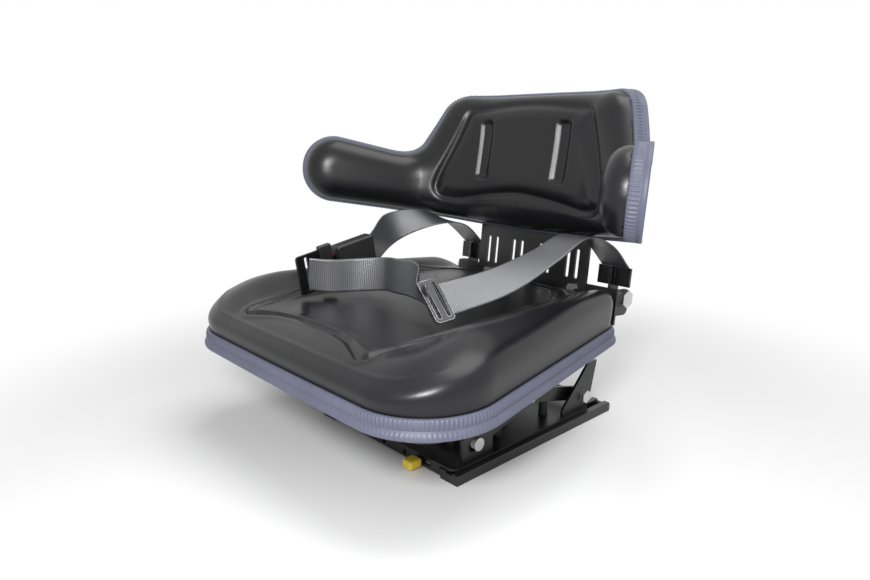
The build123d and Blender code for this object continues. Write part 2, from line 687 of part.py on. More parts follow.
def seat_edge_strip():
    """Edge strip round the seat, hooked under the pan's rim."""
    low = rim_high - PAN_SHEET - STRIP_GAP
    outer = seat_outline(STRIP_SHEET)
    band = level(extrude(outer - seat_outline(STRIP_GAP), STRIP_HEIGHT), low)
    hook = level(extrude(outer - seat_outline(-STRIP_HOOK), -PAN_SHEET), low)
    return band + hook


def pan_bolts():
    """Four bolts that hold the pan on the upper frame, heads below."""
    bolt = Rot(180, 0, 0) * hex_bolt(BACK_BOLT, SMALL_HEAD, SMALL_HEAD_HEIGHT, FRAME_SHEET + PAN_SHEET)
    return Part() + [Pos(x, y, frame_high - FRAME_SHEET) * bolt for x, y in pan_bolt_places]


save("seat_pan", seat_pan())
save("seat_cushion", seat_cushion())
save("seat_edge_strip", seat_edge_strip())
save("pan_bolts", pan_bolts())

# Backrest pad, shell and edge strip

turn_sin = sin(radians(BACK_TURN))
turn_cos = cos(radians(BACK_TURN))
bend_x = BACK_FLAT / 2
bend_y = BACK_FACE - BACK_RADIUS


def bend_point(depth, share):
    """A point on the bend, share 0 at the flat middle and 1 at the wing, depth behind the face."""
    angle = radians(BACK_TURN * share)
    radius = BACK_RADIUS + depth
    return (bend_x + radius * sin(angle), bend_y + radius * cos(angle))


def plan_curve(depth):
    """The backrest's plan line at a depth behind its face, from the left bend to the right one."""
    start, middle, end = (bend_point(depth, share) for share in (1.0, 0.5, 0.0))
    flip = [(-x, y) for x, y in (end, middle, start)]
    return [ThreePointArc(start, middle, end), Line(end, flip[0]), ThreePointArc(*flip)]


def back_middle(near, far, grow):
    """The backrest's curved middle between two depths, cut to its front outline."""
    ends = [Line(bend_point(near, 1.0), bend_point(far, 1.0))]
    ends += [mirror(ends[0], about=Plane.YZ)]
    plan = make_face(Curve() + plan_curve(near) + plan_curve(far) + ends)
    band = extrude(level(plan, BACK_BOTTOM - BACK_RADIUS), BACK_TOP)
    top = BACK_TOP_WIDTH / 2
    valley = VALLEY_WIDTH / 2
    reach = bend_point(far, 1.0)[0] + BACK_RADIUS
    half = [
        (top, BACK_TOP),
        (valley, VALLEY_HEIGHT),
        (reach, VALLEY_HEIGHT),
        (reach, WING_BOTTOM),
        (valley, WING_BOTTOM),
        (bend_x, BACK_BOTTOM),
    ]
    corners = half + [(-x, z) for x, z in reversed(half)]
    radii = (BACK_TOP_CORNER, VALLEY_CORNER, 0, 0, BACK_RADIUS, BACK_RADIUS)
    outline = make_face(FilletPolyline(*corners, radius=radii + tuple(reversed(radii)), close=True))
    if grow:
        outline = offset(outline, grow, kind=Kind.INTERSECTION)
    return band & extrude(Plane.XZ * outline, 2 * BACK_RADIUS + far, both=True)


def back_wing(near, far, grow):
    """One straight wing between two depths, with its round tip."""
    out = Vector(turn_sin, turn_cos, 0)
    origin = Vector(*bend_point(0, 1.0), 0) + out * near
    plane = Plane(origin, x_dir=(turn_cos, -turn_sin, 0), z_dir=-out)
    tip_low = WING_TIP_HEIGHT - WING_TIP_RADIUS
    tip_high = WING_TIP_HEIGHT + WING_TIP_RADIUS
    arm = [(0, WING_BOTTOM), (WING_LENGTH, tip_low), (WING_LENGTH, tip_high), (0, VALLEY_HEIGHT)]
    outline = make_face(Polyline(*arm, close=True))
    outline += Pos(WING_LENGTH, WING_TIP_HEIGHT) * Circle(WING_TIP_RADIUS)
    if grow:
        outline = offset(outline, grow)
        outline &= Pos(WING_LENGTH, WING_TIP_HEIGHT) * Rectangle(2 * WING_LENGTH, BACK_TOP)
    return extrude(plane * outline, far - near, dir=out)


def back_solid(near, far, grow=0.0):
    """The whole backrest form between two depths behind its face, upright."""
    wing = back_wing(near, far, grow)
    return back_middle(near, far, grow) + wing + mirror(wing, about=Plane.YZ)


shell_face = PAD_DEPTH + SEAT_GAP
shell_back = shell_face + SHELL_DEPTH


def front_edges(solid):
    """The edges round the pad's front: those that only one front face has."""
    out = Vector(turn_sin, turn_cos, 0)
    wings = [-out, Vector(turn_sin, -turn_cos, 0)]
    fronts = []
    for face in solid.faces():
        normal = face.normal_at()
        centre = face.center()
        if face.geom_type == GeomType.CYLINDER:
            on_front = abs(face.radius - BACK_RADIUS) < STRIP_GAP and abs(normal.Z) < STRIP_GAP
        else:
            on_middle = abs(centre.Y - BACK_FACE) < STRIP_GAP and normal.Y < 0
            on_front = on_middle or any((normal - wing).length < STRIP_GAP for wing in wings)
        if on_front:
            fronts.append(face)
    edges = ShapeList(edge for face in fronts for edge in face.edges())
    return ShapeList(edge for edge in edges if sum(edge.is_same(other) for other in edges) == 1)


def plate_notch():
    """Room for the back plate where it crosses the lower rim."""
    width = PLATE_WIDTH + 2 * NOTCH_GAP
    height = WING_BOTTOM - BACK_BOTTOM + 2 * BACK_STRIP + NOTCH_GAP
    depth = PLATE_SHEET + SHELL_DEPTH
    return Pos(0, shell_rear + depth / 2, BACK_BOTTOM) * Box(width, depth, 2 * height)


def back_cushion():
    """Moulded foam pad with both wings and a rounded front edge."""
    pad = back_solid(0, PAD_DEPTH)
    return lean * fillet(front_edges(pad), PAD_ROUND)


def back_shell():
    """Pressed shell behind the pad, a shallow dish open to the rear."""
    shell = back_solid(shell_face, shell_back)
    shell -= back_solid(shell_face + SHELL_SHEET, shell_back + SHELL_SHEET, -SHELL_SHEET)
    shell -= plate_notch()
    for x, z in BACK_BOLTS:
        hole = Rot(90, 0, 0) * Cylinder(BACK_BOLT / 2 + FIX_CLEARANCE, SHELL_DEPTH)
        shell -= Pos(x, shell_rear, z) * hole
    return lean * shell


def back_edge_strip():
    """Edge strip round the backrest, over the pad's rear edge and the shell's rim."""
    near = PAD_DEPTH - BACK_STRIP_LAP
    ring = back_solid(near, shell_back, BACK_STRIP)
    ring -= back_solid(near - BACK_STRIP, shell_back + BACK_STRIP, STRIP_GAP)
    return lean * (ring - plate_notch())


save("back_cushion", back_cushion())
save("back_shell", back_shell())
save("back_edge_strip", back_edge_strip())

# Slotted back plate, cross plate and their bolts

plate_front = shell_rear
cross_front = plate_front + PLATE_SHEET
cross_rear = cross_front + PLATE_SHEET


def upright(sketch, y, sheet):
    """A sketch drawn in X and Z, made into a plate from y rearwards."""
    return Pos(0, y, 0) * extrude(Plane.XZ * sketch, -sheet)


def slotted_plate():
    """Back plate with four pairs of upright slots, bolted to the shell and the cross plate."""
    height = PLATE_TOP - PLATE_BOTTOM
    plate = Pos(0, (PLATE_TOP + PLATE_BOTTOM) / 2) * RectangleRounded(PLATE_WIDTH, height, PLATE_CORNER)
    slot = Rot(0, 0, 90) * SlotOverall(SLOT_HEIGHT, SLOT_WIDTH)
    for x in SLOT_PAIRS:
        plate -= [Pos(x + s * SLOT_PAIR_GAP / 2, SLOT_CENTRE) * slot for s in (-1, 1)]
    plate -= [Pos(x, z) * Circle(BACK_BOLT / 2 + FIX_CLEARANCE) for x, z in BACK_BOLTS + CROSS_BOLTS]
    return lean * upright(plate, plate_front, PLATE_SHEET)


def cross_plate():
    """Lower plate: stem bolted to the upper frame, wings, and an ear at each end for the belt."""
    wing = Pos(0, (CROSS_TOP + CROSS_BOTTOM) / 2) * Rectangle(CROSS_WIDTH, CROSS_TOP - CROSS_BOTTOM)
    wing -= [Pos(x, z) * Circle(BACK_BOLT / 2 + FIX_CLEARANCE) for x, z in CROSS_BOLTS]
    leaned = upright(wing, cross_front, PLATE_SHEET)
    ear = Pos(cross_rear + EAR_DEPTH / 2, (CROSS_TOP + EAR_BOTTOM) / 2) * Rectangle(
        EAR_DEPTH, CROSS_TOP - EAR_BOTTOM
    )
    ear = fillet(ear.vertices().group_by(Axis.X)[-1], EAR_CORNER)
    ear -= Pos(cross_rear + ANCHOR_SETBACK, ANCHOR_SEAT) * Circle(ANCHOR_BOLT / 2 + FIX_CLEARANCE)
    leaned += both_sides(side_plate(ear, CROSS_WIDTH / 2 - PLATE_SHEET, PLATE_SHEET))
    plate = lean * leaned
    foot = lean * Pos(0, cross_front, CROSS_BOTTOM) * Vertex(0, 0, 0)
    bend = Vector(foot)
    stem_side = make_face(
        Polyline(
            (FRAME_REAR, STEM_BOTTOM),
            (FRAME_REAR + PLATE_SHEET, STEM_BOTTOM),
            (FRAME_REAR + PLATE_SHEET, frame_high),
            (bend.Y + PLATE_SHEET, bend.Z),
            (bend.Y, bend.Z),
            (FRAME_REAR, frame_high),
            close=True,
        )
    )
    stem = extrude(Plane.YZ * stem_side, STEM_WIDTH / 2, both=True)
    for x in stem_bolt_places:
        stem -= Pos(x, FRAME_REAR, stem_bolt_height) * Rot(90, 0, 0) * Cylinder(
            BACK_BOLT / 2 + FIX_CLEARANCE, 4 * PLATE_SHEET
        )
    return plate + stem


def rear_bolts(places, y, length, turn):
    """Hexagon bolts along Y with their heads at y."""
    bolt = Rot(turn, 0, 0) * hex_bolt(BACK_BOLT, SMALL_HEAD, SMALL_HEAD_HEIGHT, length)
    return Part() + [Pos(x, y, z) * bolt for x, z in places]


save("slotted_back_plate", slotted_plate())
save("rear_cross_plate", cross_plate())
save("back_bolts", lean * rear_bolts(BACK_BOLTS, cross_front, PLATE_SHEET + SHELL_SHEET, -90))
save("cross_plate_bolts", lean * rear_bolts(CROSS_BOLTS, plate_front, 2 * PLATE_SHEET, 90))
stem_places = [(x, stem_bolt_height) for x in stem_bolt_places]
save("stem_bolts", rear_bolts(stem_places, FRAME_REAR + PLATE_SHEET, PLATE_SHEET + FRAME_SHEET, -90))

# Belt anchors

ear_x = CROSS_WIDTH / 2 - PLATE_SHEET
bush_x = ear_x - BUSH_LENGTH
tab_x = bush_x - ANCHOR_SHEET
anchor_y = cross_rear + ANCHOR_SETBACK
flange_low = CROSS_TOP + ANCHOR_SHEET
flange_high = ANCHOR_SEAT + ANCHOR_RISE
belt_x = tab_x + ANCHOR_SHEET / 2


def anchor_bolt():
    """Belt anchor bolt through the ear, the bush and the anchor plate, with its nut."""
    head = Pos(ear_x + PLATE_SHEET, anchor_y, ANCHOR_SEAT) * Rot(0, 90, 0) * extrude(
        RegularPolygon(ANCHOR_HEAD / 2, 6, major_radius=False), ANCHOR_HEAD_HEIGHT
    )
    nut = Pos(tab_x - ANCHOR_HEAD_HEIGHT, anchor_y, ANCHOR_SEAT) * Rot(0, 90, 0) * extrude(
        RegularPolygon(BOLT_HEAD / 2, 6, major_radius=False), ANCHOR_HEAD_HEIGHT
    )
    shank = bar_x(ANCHOR_BOLT, tab_x - ANCHOR_HEAD_HEIGHT, ear_x + PLATE_SHEET, anchor_y, ANCHOR_SEAT)
    return lean * (head + shank + nut)


def anchor_bush():
    """Spacer bush on the anchor bolt, between the ear and the anchor plate."""
    bore = ANCHOR_BOLT + 2 * FIX_CLEARANCE
    return lean * tube_x(BUSH_DIAMETER, bore, bush_x, ear_x, anchor_y, ANCHOR_SEAT)


def anchor_plate():
    """Angle plate: a tab on the bolt and a cross flange that the strap is sewn to."""
    tab_low = ANCHOR_SEAT - ANCHOR_TAB / 2
    tab = Pos(anchor_y, (tab_low + flange_high) / 2) * Rectangle(ANCHOR_TAB, flange_high - tab_low)
    tab = fillet(tab.vertices().group_by(Axis.Y)[0], ANCHOR_TAB / 3)
    tab -= Pos(anchor_y, ANCHOR_SEAT) * Circle(ANCHOR_BOLT / 2 + FIX_CLEARANCE)
    flange = Pos(belt_x, (flange_low + flange_high) / 2) * Rectangle(
        BELT_WIDTH + 2 * ANCHOR_SHEET, flange_high - flange_low
    )
    plate = side_plate(tab, tab_x, ANCHOR_SHEET)
    plate += upright(flange, anchor_y - ANCHOR_SHEET / 2, ANCHOR_SHEET)
    return lean * plate


save_pair("belt_anchor_bolt", anchor_bolt())
save_pair("belt_anchor_bush", anchor_bush())
save_pair("belt_anchor_plate", anchor_plate())

# Belt webbing and hardware


def ribbon(stations, start, end):
    """Webbing along a smooth curve through stations of a centre point and a direction across.

    start and end are the directions that the strap leaves its first station and meets its last in.
    """
    points = [Vector(*point) for point, _ in stations]
    across = [Vector(*direction).normalized() for _, direction in stations]
    path = Spline(*points, tangents=(start, end))
    places = [path.param_at_point(point) for point in points]
    sections = []
    for i in range(BELT_STEPS + 1):
        place = i / BELT_STEPS
        k = max(j for j in range(len(places) - 1) if place >= places[j] or j == 0)
        share = (place - places[k]) / (places[k + 1] - places[k])
        along = path % place
        width = across[k] * (1 - share) + across[k + 1] * share
        width = (width - along * width.dot(along)).normalized()
        section = Plane(path @ place, x_dir=width, z_dir=along) * Rectangle(BELT_WIDTH, BELT_SHEET)
        sections.append(section)
    return loft(sections, ruled=True)


def leaned_point(x, y, z):
    """A point of the upright backrest, leaned back with it."""
    return Vector(*(lean * Pos(x, y, z)).position)


def strap_frame(origin, along, across):
    """A plane on a strap: X across it, Y along it, Z out of its face."""
    along = Vector(*along).normalized()
    across = Vector(*across)
    across = (across - along * across.dot(along)).normalized()
    return Plane(origin, x_dir=across, z_dir=across.cross(along))


sewn_end = leaned_point(belt_x, anchor_y, flange_high + BELT_GAP)
anchor_up = sewn_end - leaned_point(belt_x, anchor_y, flange_low)
butt = HARDWARE_SHEET / 2 + BELT_GAP
layer = (BELT_SHEET + HARDWARE_SHEET) / 2 + BELT_GAP

strap_end = strap_frame(LEFT_END, LEFT_ALONG, LEFT_ACROSS)
adjuster_frame = strap_frame(strap_end.from_local_coords((0, ADJUSTER_LEAD, -layer)), LEFT_ALONG, LEFT_ACROSS)
lap_start = adjuster_frame.from_local_coords((0, ADJUSTER_WIDTH / 4, butt))
tongue_line = Vector(*BUCKLE_MOUTH) - Vector(*TONGUE_BAR)
tongue_frame = strap_frame(TONGUE_BAR, tongue_line, ON_EDGE)
buckle_frame = strap_frame(BUCKLE_MOUTH, tongue_line, ON_EDGE)
lap_end = tongue_frame.from_local_coords((0, TONGUE_SLOT, butt))
buckle_tail = buckle_frame.from_local_coords((0, BUCKLE_LENGTH + BELT_GAP, 0))


def mirrored(point):
    """The point's twin across the seat's middle plane."""
    return Vector(-point.X, point.Y, point.Z)


left_route = [(sewn_end, FLAT)] + LEFT_POINTS + [(LEFT_END, LEFT_ACROSS)]
lap_route = [(lap_start, LEFT_ACROSS)] + LAP_POINTS + [(lap_end, ON_EDGE)]
right_route = [(mirrored(sewn_end), FLAT)] + RIGHT_POINTS + [(buckle_tail, ON_EDGE)]


def strap_slot():
    """The slot that the webbing goes through in a metal fitting."""
    return RectangleRounded(BELT_WIDTH + BELT_SLOT_ROOM, ADJUSTER_SLOT, ADJUSTER_SLOT / 3)


def belt_adjuster():
    """Slide adjuster: a flat metal frame with two slots across the strap."""
    frame = RectangleRounded(ADJUSTER_LENGTH, ADJUSTER_WIDTH, ADJUSTER_SLOT)
    frame -= [Pos(0, s * ADJUSTER_WIDTH / 4) * strap_slot() for s in (-1, 1)]
    return extrude(adjuster_frame * frame, HARDWARE_SHEET / 2, both=True)


def belt_tongue():
    """Latch tongue: a wide slotted end for the strap and a narrow blade in the buckle's mouth."""
    mouth = tongue_line.length
    plate = Pos(0, TONGUE_SHOULDER / 2) * RectangleRounded(TONGUE_HEIGHT, TONGUE_SHOULDER, ADJUSTER_SLOT)
    blade = mouth + TONGUE_DEPTH - TONGUE_SHOULDER / 2
    plate += Pos(0, TONGUE_SHOULDER / 2 + blade / 2) * Rectangle(TONGUE_NECK, blade)
    plate -= Pos(0, TONGUE_SLOT) * strap_slot()
    return extrude(tongue_frame * plate, HARDWARE_SHEET / 2, both=True)


def tongue_grip():
    """Moulded grip round the tongue, in front of the buckle."""
    middle = TONGUE_SHOULDER - GRIP_RUN / 2
    outer = Pos(0, middle, 0) * Box(TONGUE_HEIGHT + GRIP_SHEET, GRIP_RUN, GRIP_SHEET)
    outer = fillet(outer.edges(), GRIP_ROUND)
    inner = Pos(0, middle, 0) * Box(
        TONGUE_HEIGHT + 2 * FIX_CLEARANCE, 2 * GRIP_RUN, HARDWARE_SHEET + 2 * FIX_CLEARANCE
    )
    return tongue_frame.location * (outer - inner)


button_room = (BUTTON_HEIGHT + 2 * BUTTON_GAP, 2 * BUTTON_DEPTH, BUTTON_SHEET + 2 * BUTTON_GAP)


def buckle_body():
    """Buckle housing with a mouth for the tongue and a pocket for the push button."""
    body = Pos(0, BUCKLE_LENGTH / 2, 0) * Box(BUCKLE_HEIGHT, BUCKLE_LENGTH, BUCKLE_SHEET)
    body = fillet(body.edges(), BUCKLE_ROUND)
    mouth_height = TONGUE_NECK + MOUTH_ROOM
    body -= Box(mouth_height, 2 * (TONGUE_DEPTH + BUTTON_GAP), HARDWARE_SHEET + 2 * BUTTON_GAP)
    body -= Pos(0, 0, -BUTTON_OFFSET) * Box(*button_room)
    return buckle_frame.location * body


def buckle_button():
    """Push button beside the mouth; it stands out of the end of the buckle."""
    depth = BUTTON_DEPTH - BUTTON_GAP
    button = Pos(0, depth / 2 - BUTTON_OUT, -BUTTON_OFFSET) * Box(BUTTON_HEIGHT, depth, BUTTON_SHEET)
    return buckle_frame.location * fillet(button.edges(), BUTTON_ROUND)


save("belt_strap_left", ribbon(left_route, anchor_up, LEFT_ALONG))
save("belt_strap_lap", ribbon(lap_route, adjuster_frame.z_dir, -tongue_frame.z_dir))
save("belt_strap_right", ribbon(right_route, anchor_up, -tongue_line))
save("belt_adjuster", belt_adjuster())
save("belt_tongue", belt_tongue())
save("tongue_grip", tongue_grip())
save("buckle_body", buckle_body())
save("buckle_button", buckle_button())
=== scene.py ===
import json
from math import radians

import bmesh
import bpy
import numpy as np
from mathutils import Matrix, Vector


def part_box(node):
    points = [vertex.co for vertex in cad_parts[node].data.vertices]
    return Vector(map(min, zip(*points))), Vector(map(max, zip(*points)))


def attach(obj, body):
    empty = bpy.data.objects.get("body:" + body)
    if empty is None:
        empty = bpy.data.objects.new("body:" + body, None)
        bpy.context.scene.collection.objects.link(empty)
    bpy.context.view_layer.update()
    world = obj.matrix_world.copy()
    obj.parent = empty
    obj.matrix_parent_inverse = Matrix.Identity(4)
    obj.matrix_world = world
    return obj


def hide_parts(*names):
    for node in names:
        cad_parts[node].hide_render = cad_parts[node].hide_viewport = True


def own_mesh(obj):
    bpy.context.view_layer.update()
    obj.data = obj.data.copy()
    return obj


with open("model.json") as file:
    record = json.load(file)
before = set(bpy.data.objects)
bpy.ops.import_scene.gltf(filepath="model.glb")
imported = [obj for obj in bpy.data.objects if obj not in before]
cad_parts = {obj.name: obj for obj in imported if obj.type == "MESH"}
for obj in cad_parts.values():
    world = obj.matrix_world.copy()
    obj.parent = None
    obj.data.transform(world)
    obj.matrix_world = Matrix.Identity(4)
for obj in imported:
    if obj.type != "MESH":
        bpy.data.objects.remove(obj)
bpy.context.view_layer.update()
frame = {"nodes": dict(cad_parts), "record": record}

# Operator seat: moulded vinyl cushion and wrap-around backrest, ribbed edge strips, lap belt,
# coil springs and painted steel. Metres, in the frame of the solids: the seat faces -Y, +X is its left.

nodes = frame["nodes"]

# Points on an arc, on a pressed line, and on the outlines that are measured
ARC_POINTS = 25
LINE_POINTS = 240
BACK_LOOP_POINTS = 1400
STRIP_MEASURE = 900
SECTION_TENSION = 0.35

# Camera and picture
PICTURE_WIDTH = 870
FOCAL_PIXELS = 662
SENSOR = 36.0
CAMERA_PLACE = (0.6760, -0.6993, 0.4379)
CAMERA_TURN = (76.21, 0.0, 47.04)

# Seat plan: half sizes, and the corners' radii
SEAT_HALF = 0.272
SEAT_REAR_HALF = 0.180
SEAT_FRONT = -0.325
SEAT_REAR = 0.126
SEAT_BOW = 0.003
BOW_RADIUS = 12.0
FRONT_CORNER = 0.088
REAR_CORNER = 0.048
SEAT_COLUMNS = 600

# Cushion form
CUSHION_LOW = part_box("seat_pan")[1].z + 0.0005
CUSHION_FOOT = 0.008
CUSHION_BULGE = 0.011
CUSHION_ROLL = 0.050
ROLL_POWER = 2.4
SEAT_TOP = 0.199
BOLSTER_RISE = 0.027
BOLSTER_FROM = 0.122
BOLSTER_TO = 0.206
FRONT_FADE = (-0.345, -0.190)
FRONT_DROP = 0.006
FRONT_DROP_FROM = -0.270
FRONT_DROP_TO = -0.330
REAR_RISE = 0.006
SHOULDER_INSET = 0.021
SHOULDER_WIDTH = 0.0022
SHOULDER_RISE = 0.0011
SHOULDER_FADE = (-0.255, -0.285)
WALL_ROWS = 46
CLOSE_ROWS = 76
MIDDLE_ROWS = 24
CLOSE_SHARE = 0.55

# Pressed channel round the sitting area: half of its line, front middle to rear middle
CHANNEL_HALF = [
    (0.000, -0.268), (0.040, -0.269), (0.075, -0.276), (0.130, -0.299), (0.137, -0.250),
    (0.148, -0.200), (0.154, -0.100), (0.142, 0.020), (0.112, 0.080), (0.000, 0.088),
]
CHANNEL_CORNER = [0.05, 0.05, 0.08, 0.010, 0.09, 0.12, 0.20, 0.08, 0.05, 0.05]
CHANNEL_WIDTH = 0.0048
CHANNEL_DEPTH = 0.0042
CHANNEL_LIP = 0.0012
CHANNEL_POWER = 6
LIP_PLACE = 1.9
CHANNEL_SIDE_SHARE = 0.55
CHANNEL_SIDE_FROM = -0.285
CHANNEL_SIDE_TO = -0.235

# Seat edge strip: outline of its section, outwards and up from the pan's rim
SEAT_STRIP_SECTION = [
    (-0.0120, -0.0030), (-0.0120, -0.0044), (0.0030, -0.0046), (0.0072, -0.0040), (0.0094, -0.0026),
    (0.0098, -0.0004), (0.0090, 0.0026), (0.0070, 0.0052), (0.0058, 0.0064), (0.0056, 0.0072),
    (0.0066, 0.0084), (0.0071, 0.0108), (0.0069, 0.0136), (0.0058, 0.0164), (0.0040, 0.0182),
    (0.0022, 0.0188), (0.0004, 0.0180), (0.0002, 0.0060), (0.0002, -0.0024),
]
SEAT_STRIP_POINTS = 34
SEAT_TEETH = (0.0074, 0.0176)
SEAT_BEAD = (-0.0030, 0.0052)
RIB_PITCH = 0.0046
RIB_HEIGHT = 0.0012
BEAD_SHARE = 0.45
RIB_SAMPLES = 6
RIB_EDGE = 0.001
TOOTH_POWER = 1.5
STRIP_OUTER = 0.003

# Backrest plan and lean
BACK_FACE = 0.110
BACK_FLAT = 0.080
BACK_RADIUS = 0.140
BACK_TURN = radians(61)
BACK_LEAN = radians(6)
LEAN_Y = 0.140
LEAN_Z = 0.280
PAD_DEPTH = 0.036

# Backrest outline, along its curve and up: half of it, top middle to bottom middle
BACK_HALF = [
    (0.000, 0.4885), (0.158, 0.4880), (0.203, 0.3850), (0.240, 0.3860), (0.393, 0.4095),
    (0.393, 0.3010), (0.250, 0.2915), (0.110, 0.2790), (0.000, 0.2770),
]
BACK_CORNER = [2.0, 0.042, 0.036, 0.150, 0.0500, 0.0500, 0.3, 0.6, 0.9]
BACK_GROW = -0.0005
BACK_ROLL = 0.046
RIM_FLAT = 0.0004
BACK_RIM = 0.0300
BACK_CROWN = 0.003
BELLY_TOP = 0.003
BELLY_LOW = 0.012
BELLY_HALF = 0.200
BELLY_FROM = 0.430
BELLY_TO = 0.310
BACK_COLUMNS = 421
BACK_ROWS = 161
TIP_SHARE = 0.9998
PAD_REAR_GAP = 0.0003
# The line that parts the outline into its upper and lower edge: along the curve, and up
PARTING_ALONG = [0.0, 0.25, 0.40]
PARTING_HEIGHT = [0.38, 0.34, 0.3555]

# Pressed panel on the backrest: half of its line, top middle to bottom middle
PANEL_HALF = [
    (0.000, 0.473), (0.119, 0.461), (0.142, 0.408), (0.167, 0.355), (0.177, 0.319),
    (0.127, 0.317), (0.060, 0.328), (0.000, 0.335),
]
PANEL_CORNER = [0.6, 0.016, 0.3, 0.15, 0.018, 0.06, 0.1, 0.2]
PANEL_WIDTH = 0.0058
PANEL_DEPTH = 0.0046
FLUTE_PLACE = 0.076
FLUTE_WIDTH = 0.0120
FLUTE_DEPTH = 0.0066
FLUTE_LOW = 0.348
FLUTE_HIGH = 0.450
FLUTE_FADE = 0.012
FLUTE_POWER = 6
LOBE_RISE = 0.0050
LOBE_REACH = 0.024

# Backrest edge strip: outline of its section, outwards and back from the pad's face
BACK_STRIP_SECTION = [
    (-0.0030, 0.0290), (-0.0008, 0.0284), (0.0014, 0.0290), (0.0030, 0.0308), (0.0036, 0.0336),
    (0.0036, 0.0370), (0.0034, 0.0396), (0.0030, 0.0410), (0.0028, 0.0416), (0.0032, 0.0424),
    (0.0038, 0.0442), (0.0042, 0.0462), (0.0042, 0.0478), (0.0034, 0.0488), (0.0016, 0.0490),
    (-0.0020, 0.0486), (-0.0026, 0.0476), (-0.0006, 0.0470), (-0.0006, 0.0340),
]
BACK_STRIP_POINTS = 32
BACK_TEETH = (0.0292, 0.0410)
BACK_STRIP_OUTER = 0.0004

# Belt: centre points of the webbing, each with the direction across it there
BELT_WIDTH = 0.048
BELT_SHEET = 0.0020
BELT_STEPS = 300
BELT_HEM = 0.9
HEM_RISE = 0.0002
HEM_WIDTH = 0.05
BELT_POINTS = 33
BELT_EDGE_POWER = 14
STITCH_ROWS = 0.007
STITCH_WIDTH = 0.0012
STITCH_REACH = 0.046
LEFT_ROUTE = [
    ((0.1463, 0.1658, 0.2354), (1.00, 0.00, 0.00)),
    ((0.1470, 0.1180, 0.2740), (1.00, 0.00, 0.00)),
    ((0.1450, 0.0600, 0.2920), (1.00, 0.00, 0.00)),
    ((0.1390, 0.0040, 0.2720), (0.98, -0.10, -0.18)),
    ((0.1300, -0.0800, 0.2470), (0.80, -0.25, -0.55)),
    ((0.1120, -0.1640, 0.2340), (0.62, -0.35, -0.70)),
]
LAP_ROUTE = [
    ((0.1093, -0.1783, 0.2328), (0.72, -0.08, -0.69)),
    ((0.0960, -0.1730, 0.2300), (0.66, 0.00, -0.75)),
    ((0.0500, -0.1490, 0.2440), (0.42, -0.20, -0.88)),
    ((-0.0120, -0.1340, 0.2400), (0.20, -0.20, -0.95)),
    ((-0.0540, -0.1220, 0.2340), (0.10, -0.15, -0.98)),
    ((-0.0840, -0.1440, 0.2310), (0.05, -0.05, -0.99)),
    ((-0.1030, -0.1810, 0.2320), (0.00, 0.00, -1.00)),
    ((-0.1214, -0.2031, 0.2350), (0.00, 0.15, -0.99)),
]
RIGHT_ROUTE = [
    ((-0.1463, 0.1658, 0.2354), (1.00, 0.00, 0.00)),
    ((-0.1490, 0.1180, 0.2740), (1.00, 0.00, 0.00)),
    ((-0.1580, 0.0660, 0.2880), (0.90, 0.00, -0.43)),
    ((-0.1710, 0.0040, 0.2810), (0.55, -0.10, -0.83)),
    ((-0.1323, -0.0808, 0.2541), (0.00, 0.15, -0.99)),
]

# Floor and light
FLOOR_HALF = 40.0
WHITE_FROM = 0.42
WHITE_TO = 0.95
AMBIENT = 0.32

# Springs
SPRING_RADIUS = 0.020
SPRING_WIRE = 0.0025
SPRING_TURNS = 6.5
SPRING_STEPS = 420
WIRE_SIDES = 14
SPRING_CLOSED = 0.06
SPRING_END = 0.12
SPRING_SMOOTH = 25


def smoothstep(x):
    """Three x squared minus two x cubed, held between 0 and 1."""
    x = np.clip(x, 0.0, 1.0)
    return x * x * (3 - 2 * x)


def rounded_loop(corners, radii, count):
    """A closed polygon with arcs at its corners, as count points at equal steps along it.

    Each arc touches both edges at radius / tan(half the corner's angle) from the corner.
    """
    corners = np.array(corners, float)
    pieces = []
    for i, radius in enumerate(radii):
        here = corners[i]
        back = corners[i - 1] - here
        ahead = corners[(i + 1) % len(corners)] - here
        back = back / np.linalg.norm(back)
        ahead = ahead / np.linalg.norm(ahead)
        half = np.arccos(np.clip(back @ ahead, -1, 1)) / 2
        middle = (back + ahead) / np.linalg.norm(back + ahead)
        centre = here + middle * radius / np.sin(half)
        first = here + back * radius / np.tan(half) - centre
        last = here + ahead * radius / np.tan(half) - centre
        share = np.linspace(0, 1, ARC_POINTS)[:, None]
        turn = np.pi - 2 * half
        arc = (np.sin((1 - share) * turn) * first + np.sin(share * turn) * last) / np.sin(turn)
        pieces.append(centre + arc)
    points = np.concatenate(pieces)
    return even_steps(np.vstack([points, points[:1]]), count, closed=True)


def even_steps(points, count, closed=False):
    """The same line as count points at equal distances along it."""
    length = np.concatenate([[0], np.cumsum(np.linalg.norm(np.diff(points, axis=0), axis=1))])
    at = np.linspace(0, length[-1], count, endpoint=not closed)
    return np.stack([np.interp(at, length, points[:, k]) for k in range(points.shape[1])], axis=1)


def mirrored_loop(half, radii):
    """A half line from one middle point to the other, joined to its mirror image across x = 0."""
    flipped = [(-x, y) for x, y in half[-2:0:-1]]
    return list(half) + flipped, list(radii) + list(radii[-2:0:-1])


def outward(loop):
    """Unit normals of a closed plane loop, pointing away from its inside."""
    along = np.roll(loop, -1, axis=0) - np.roll(loop, 1, axis=0)
    along /= np.linalg.norm(along, axis=1)[:, None]
    normal = np.stack([along[:, 1], -along[:, 0]], axis=1)
    ahead = np.roll(loop, -1, axis=0)
    area = np.sum(loop[:, 0] * ahead[:, 1] - ahead[:, 0] * loop[:, 1])
    return normal * np.sign(area)


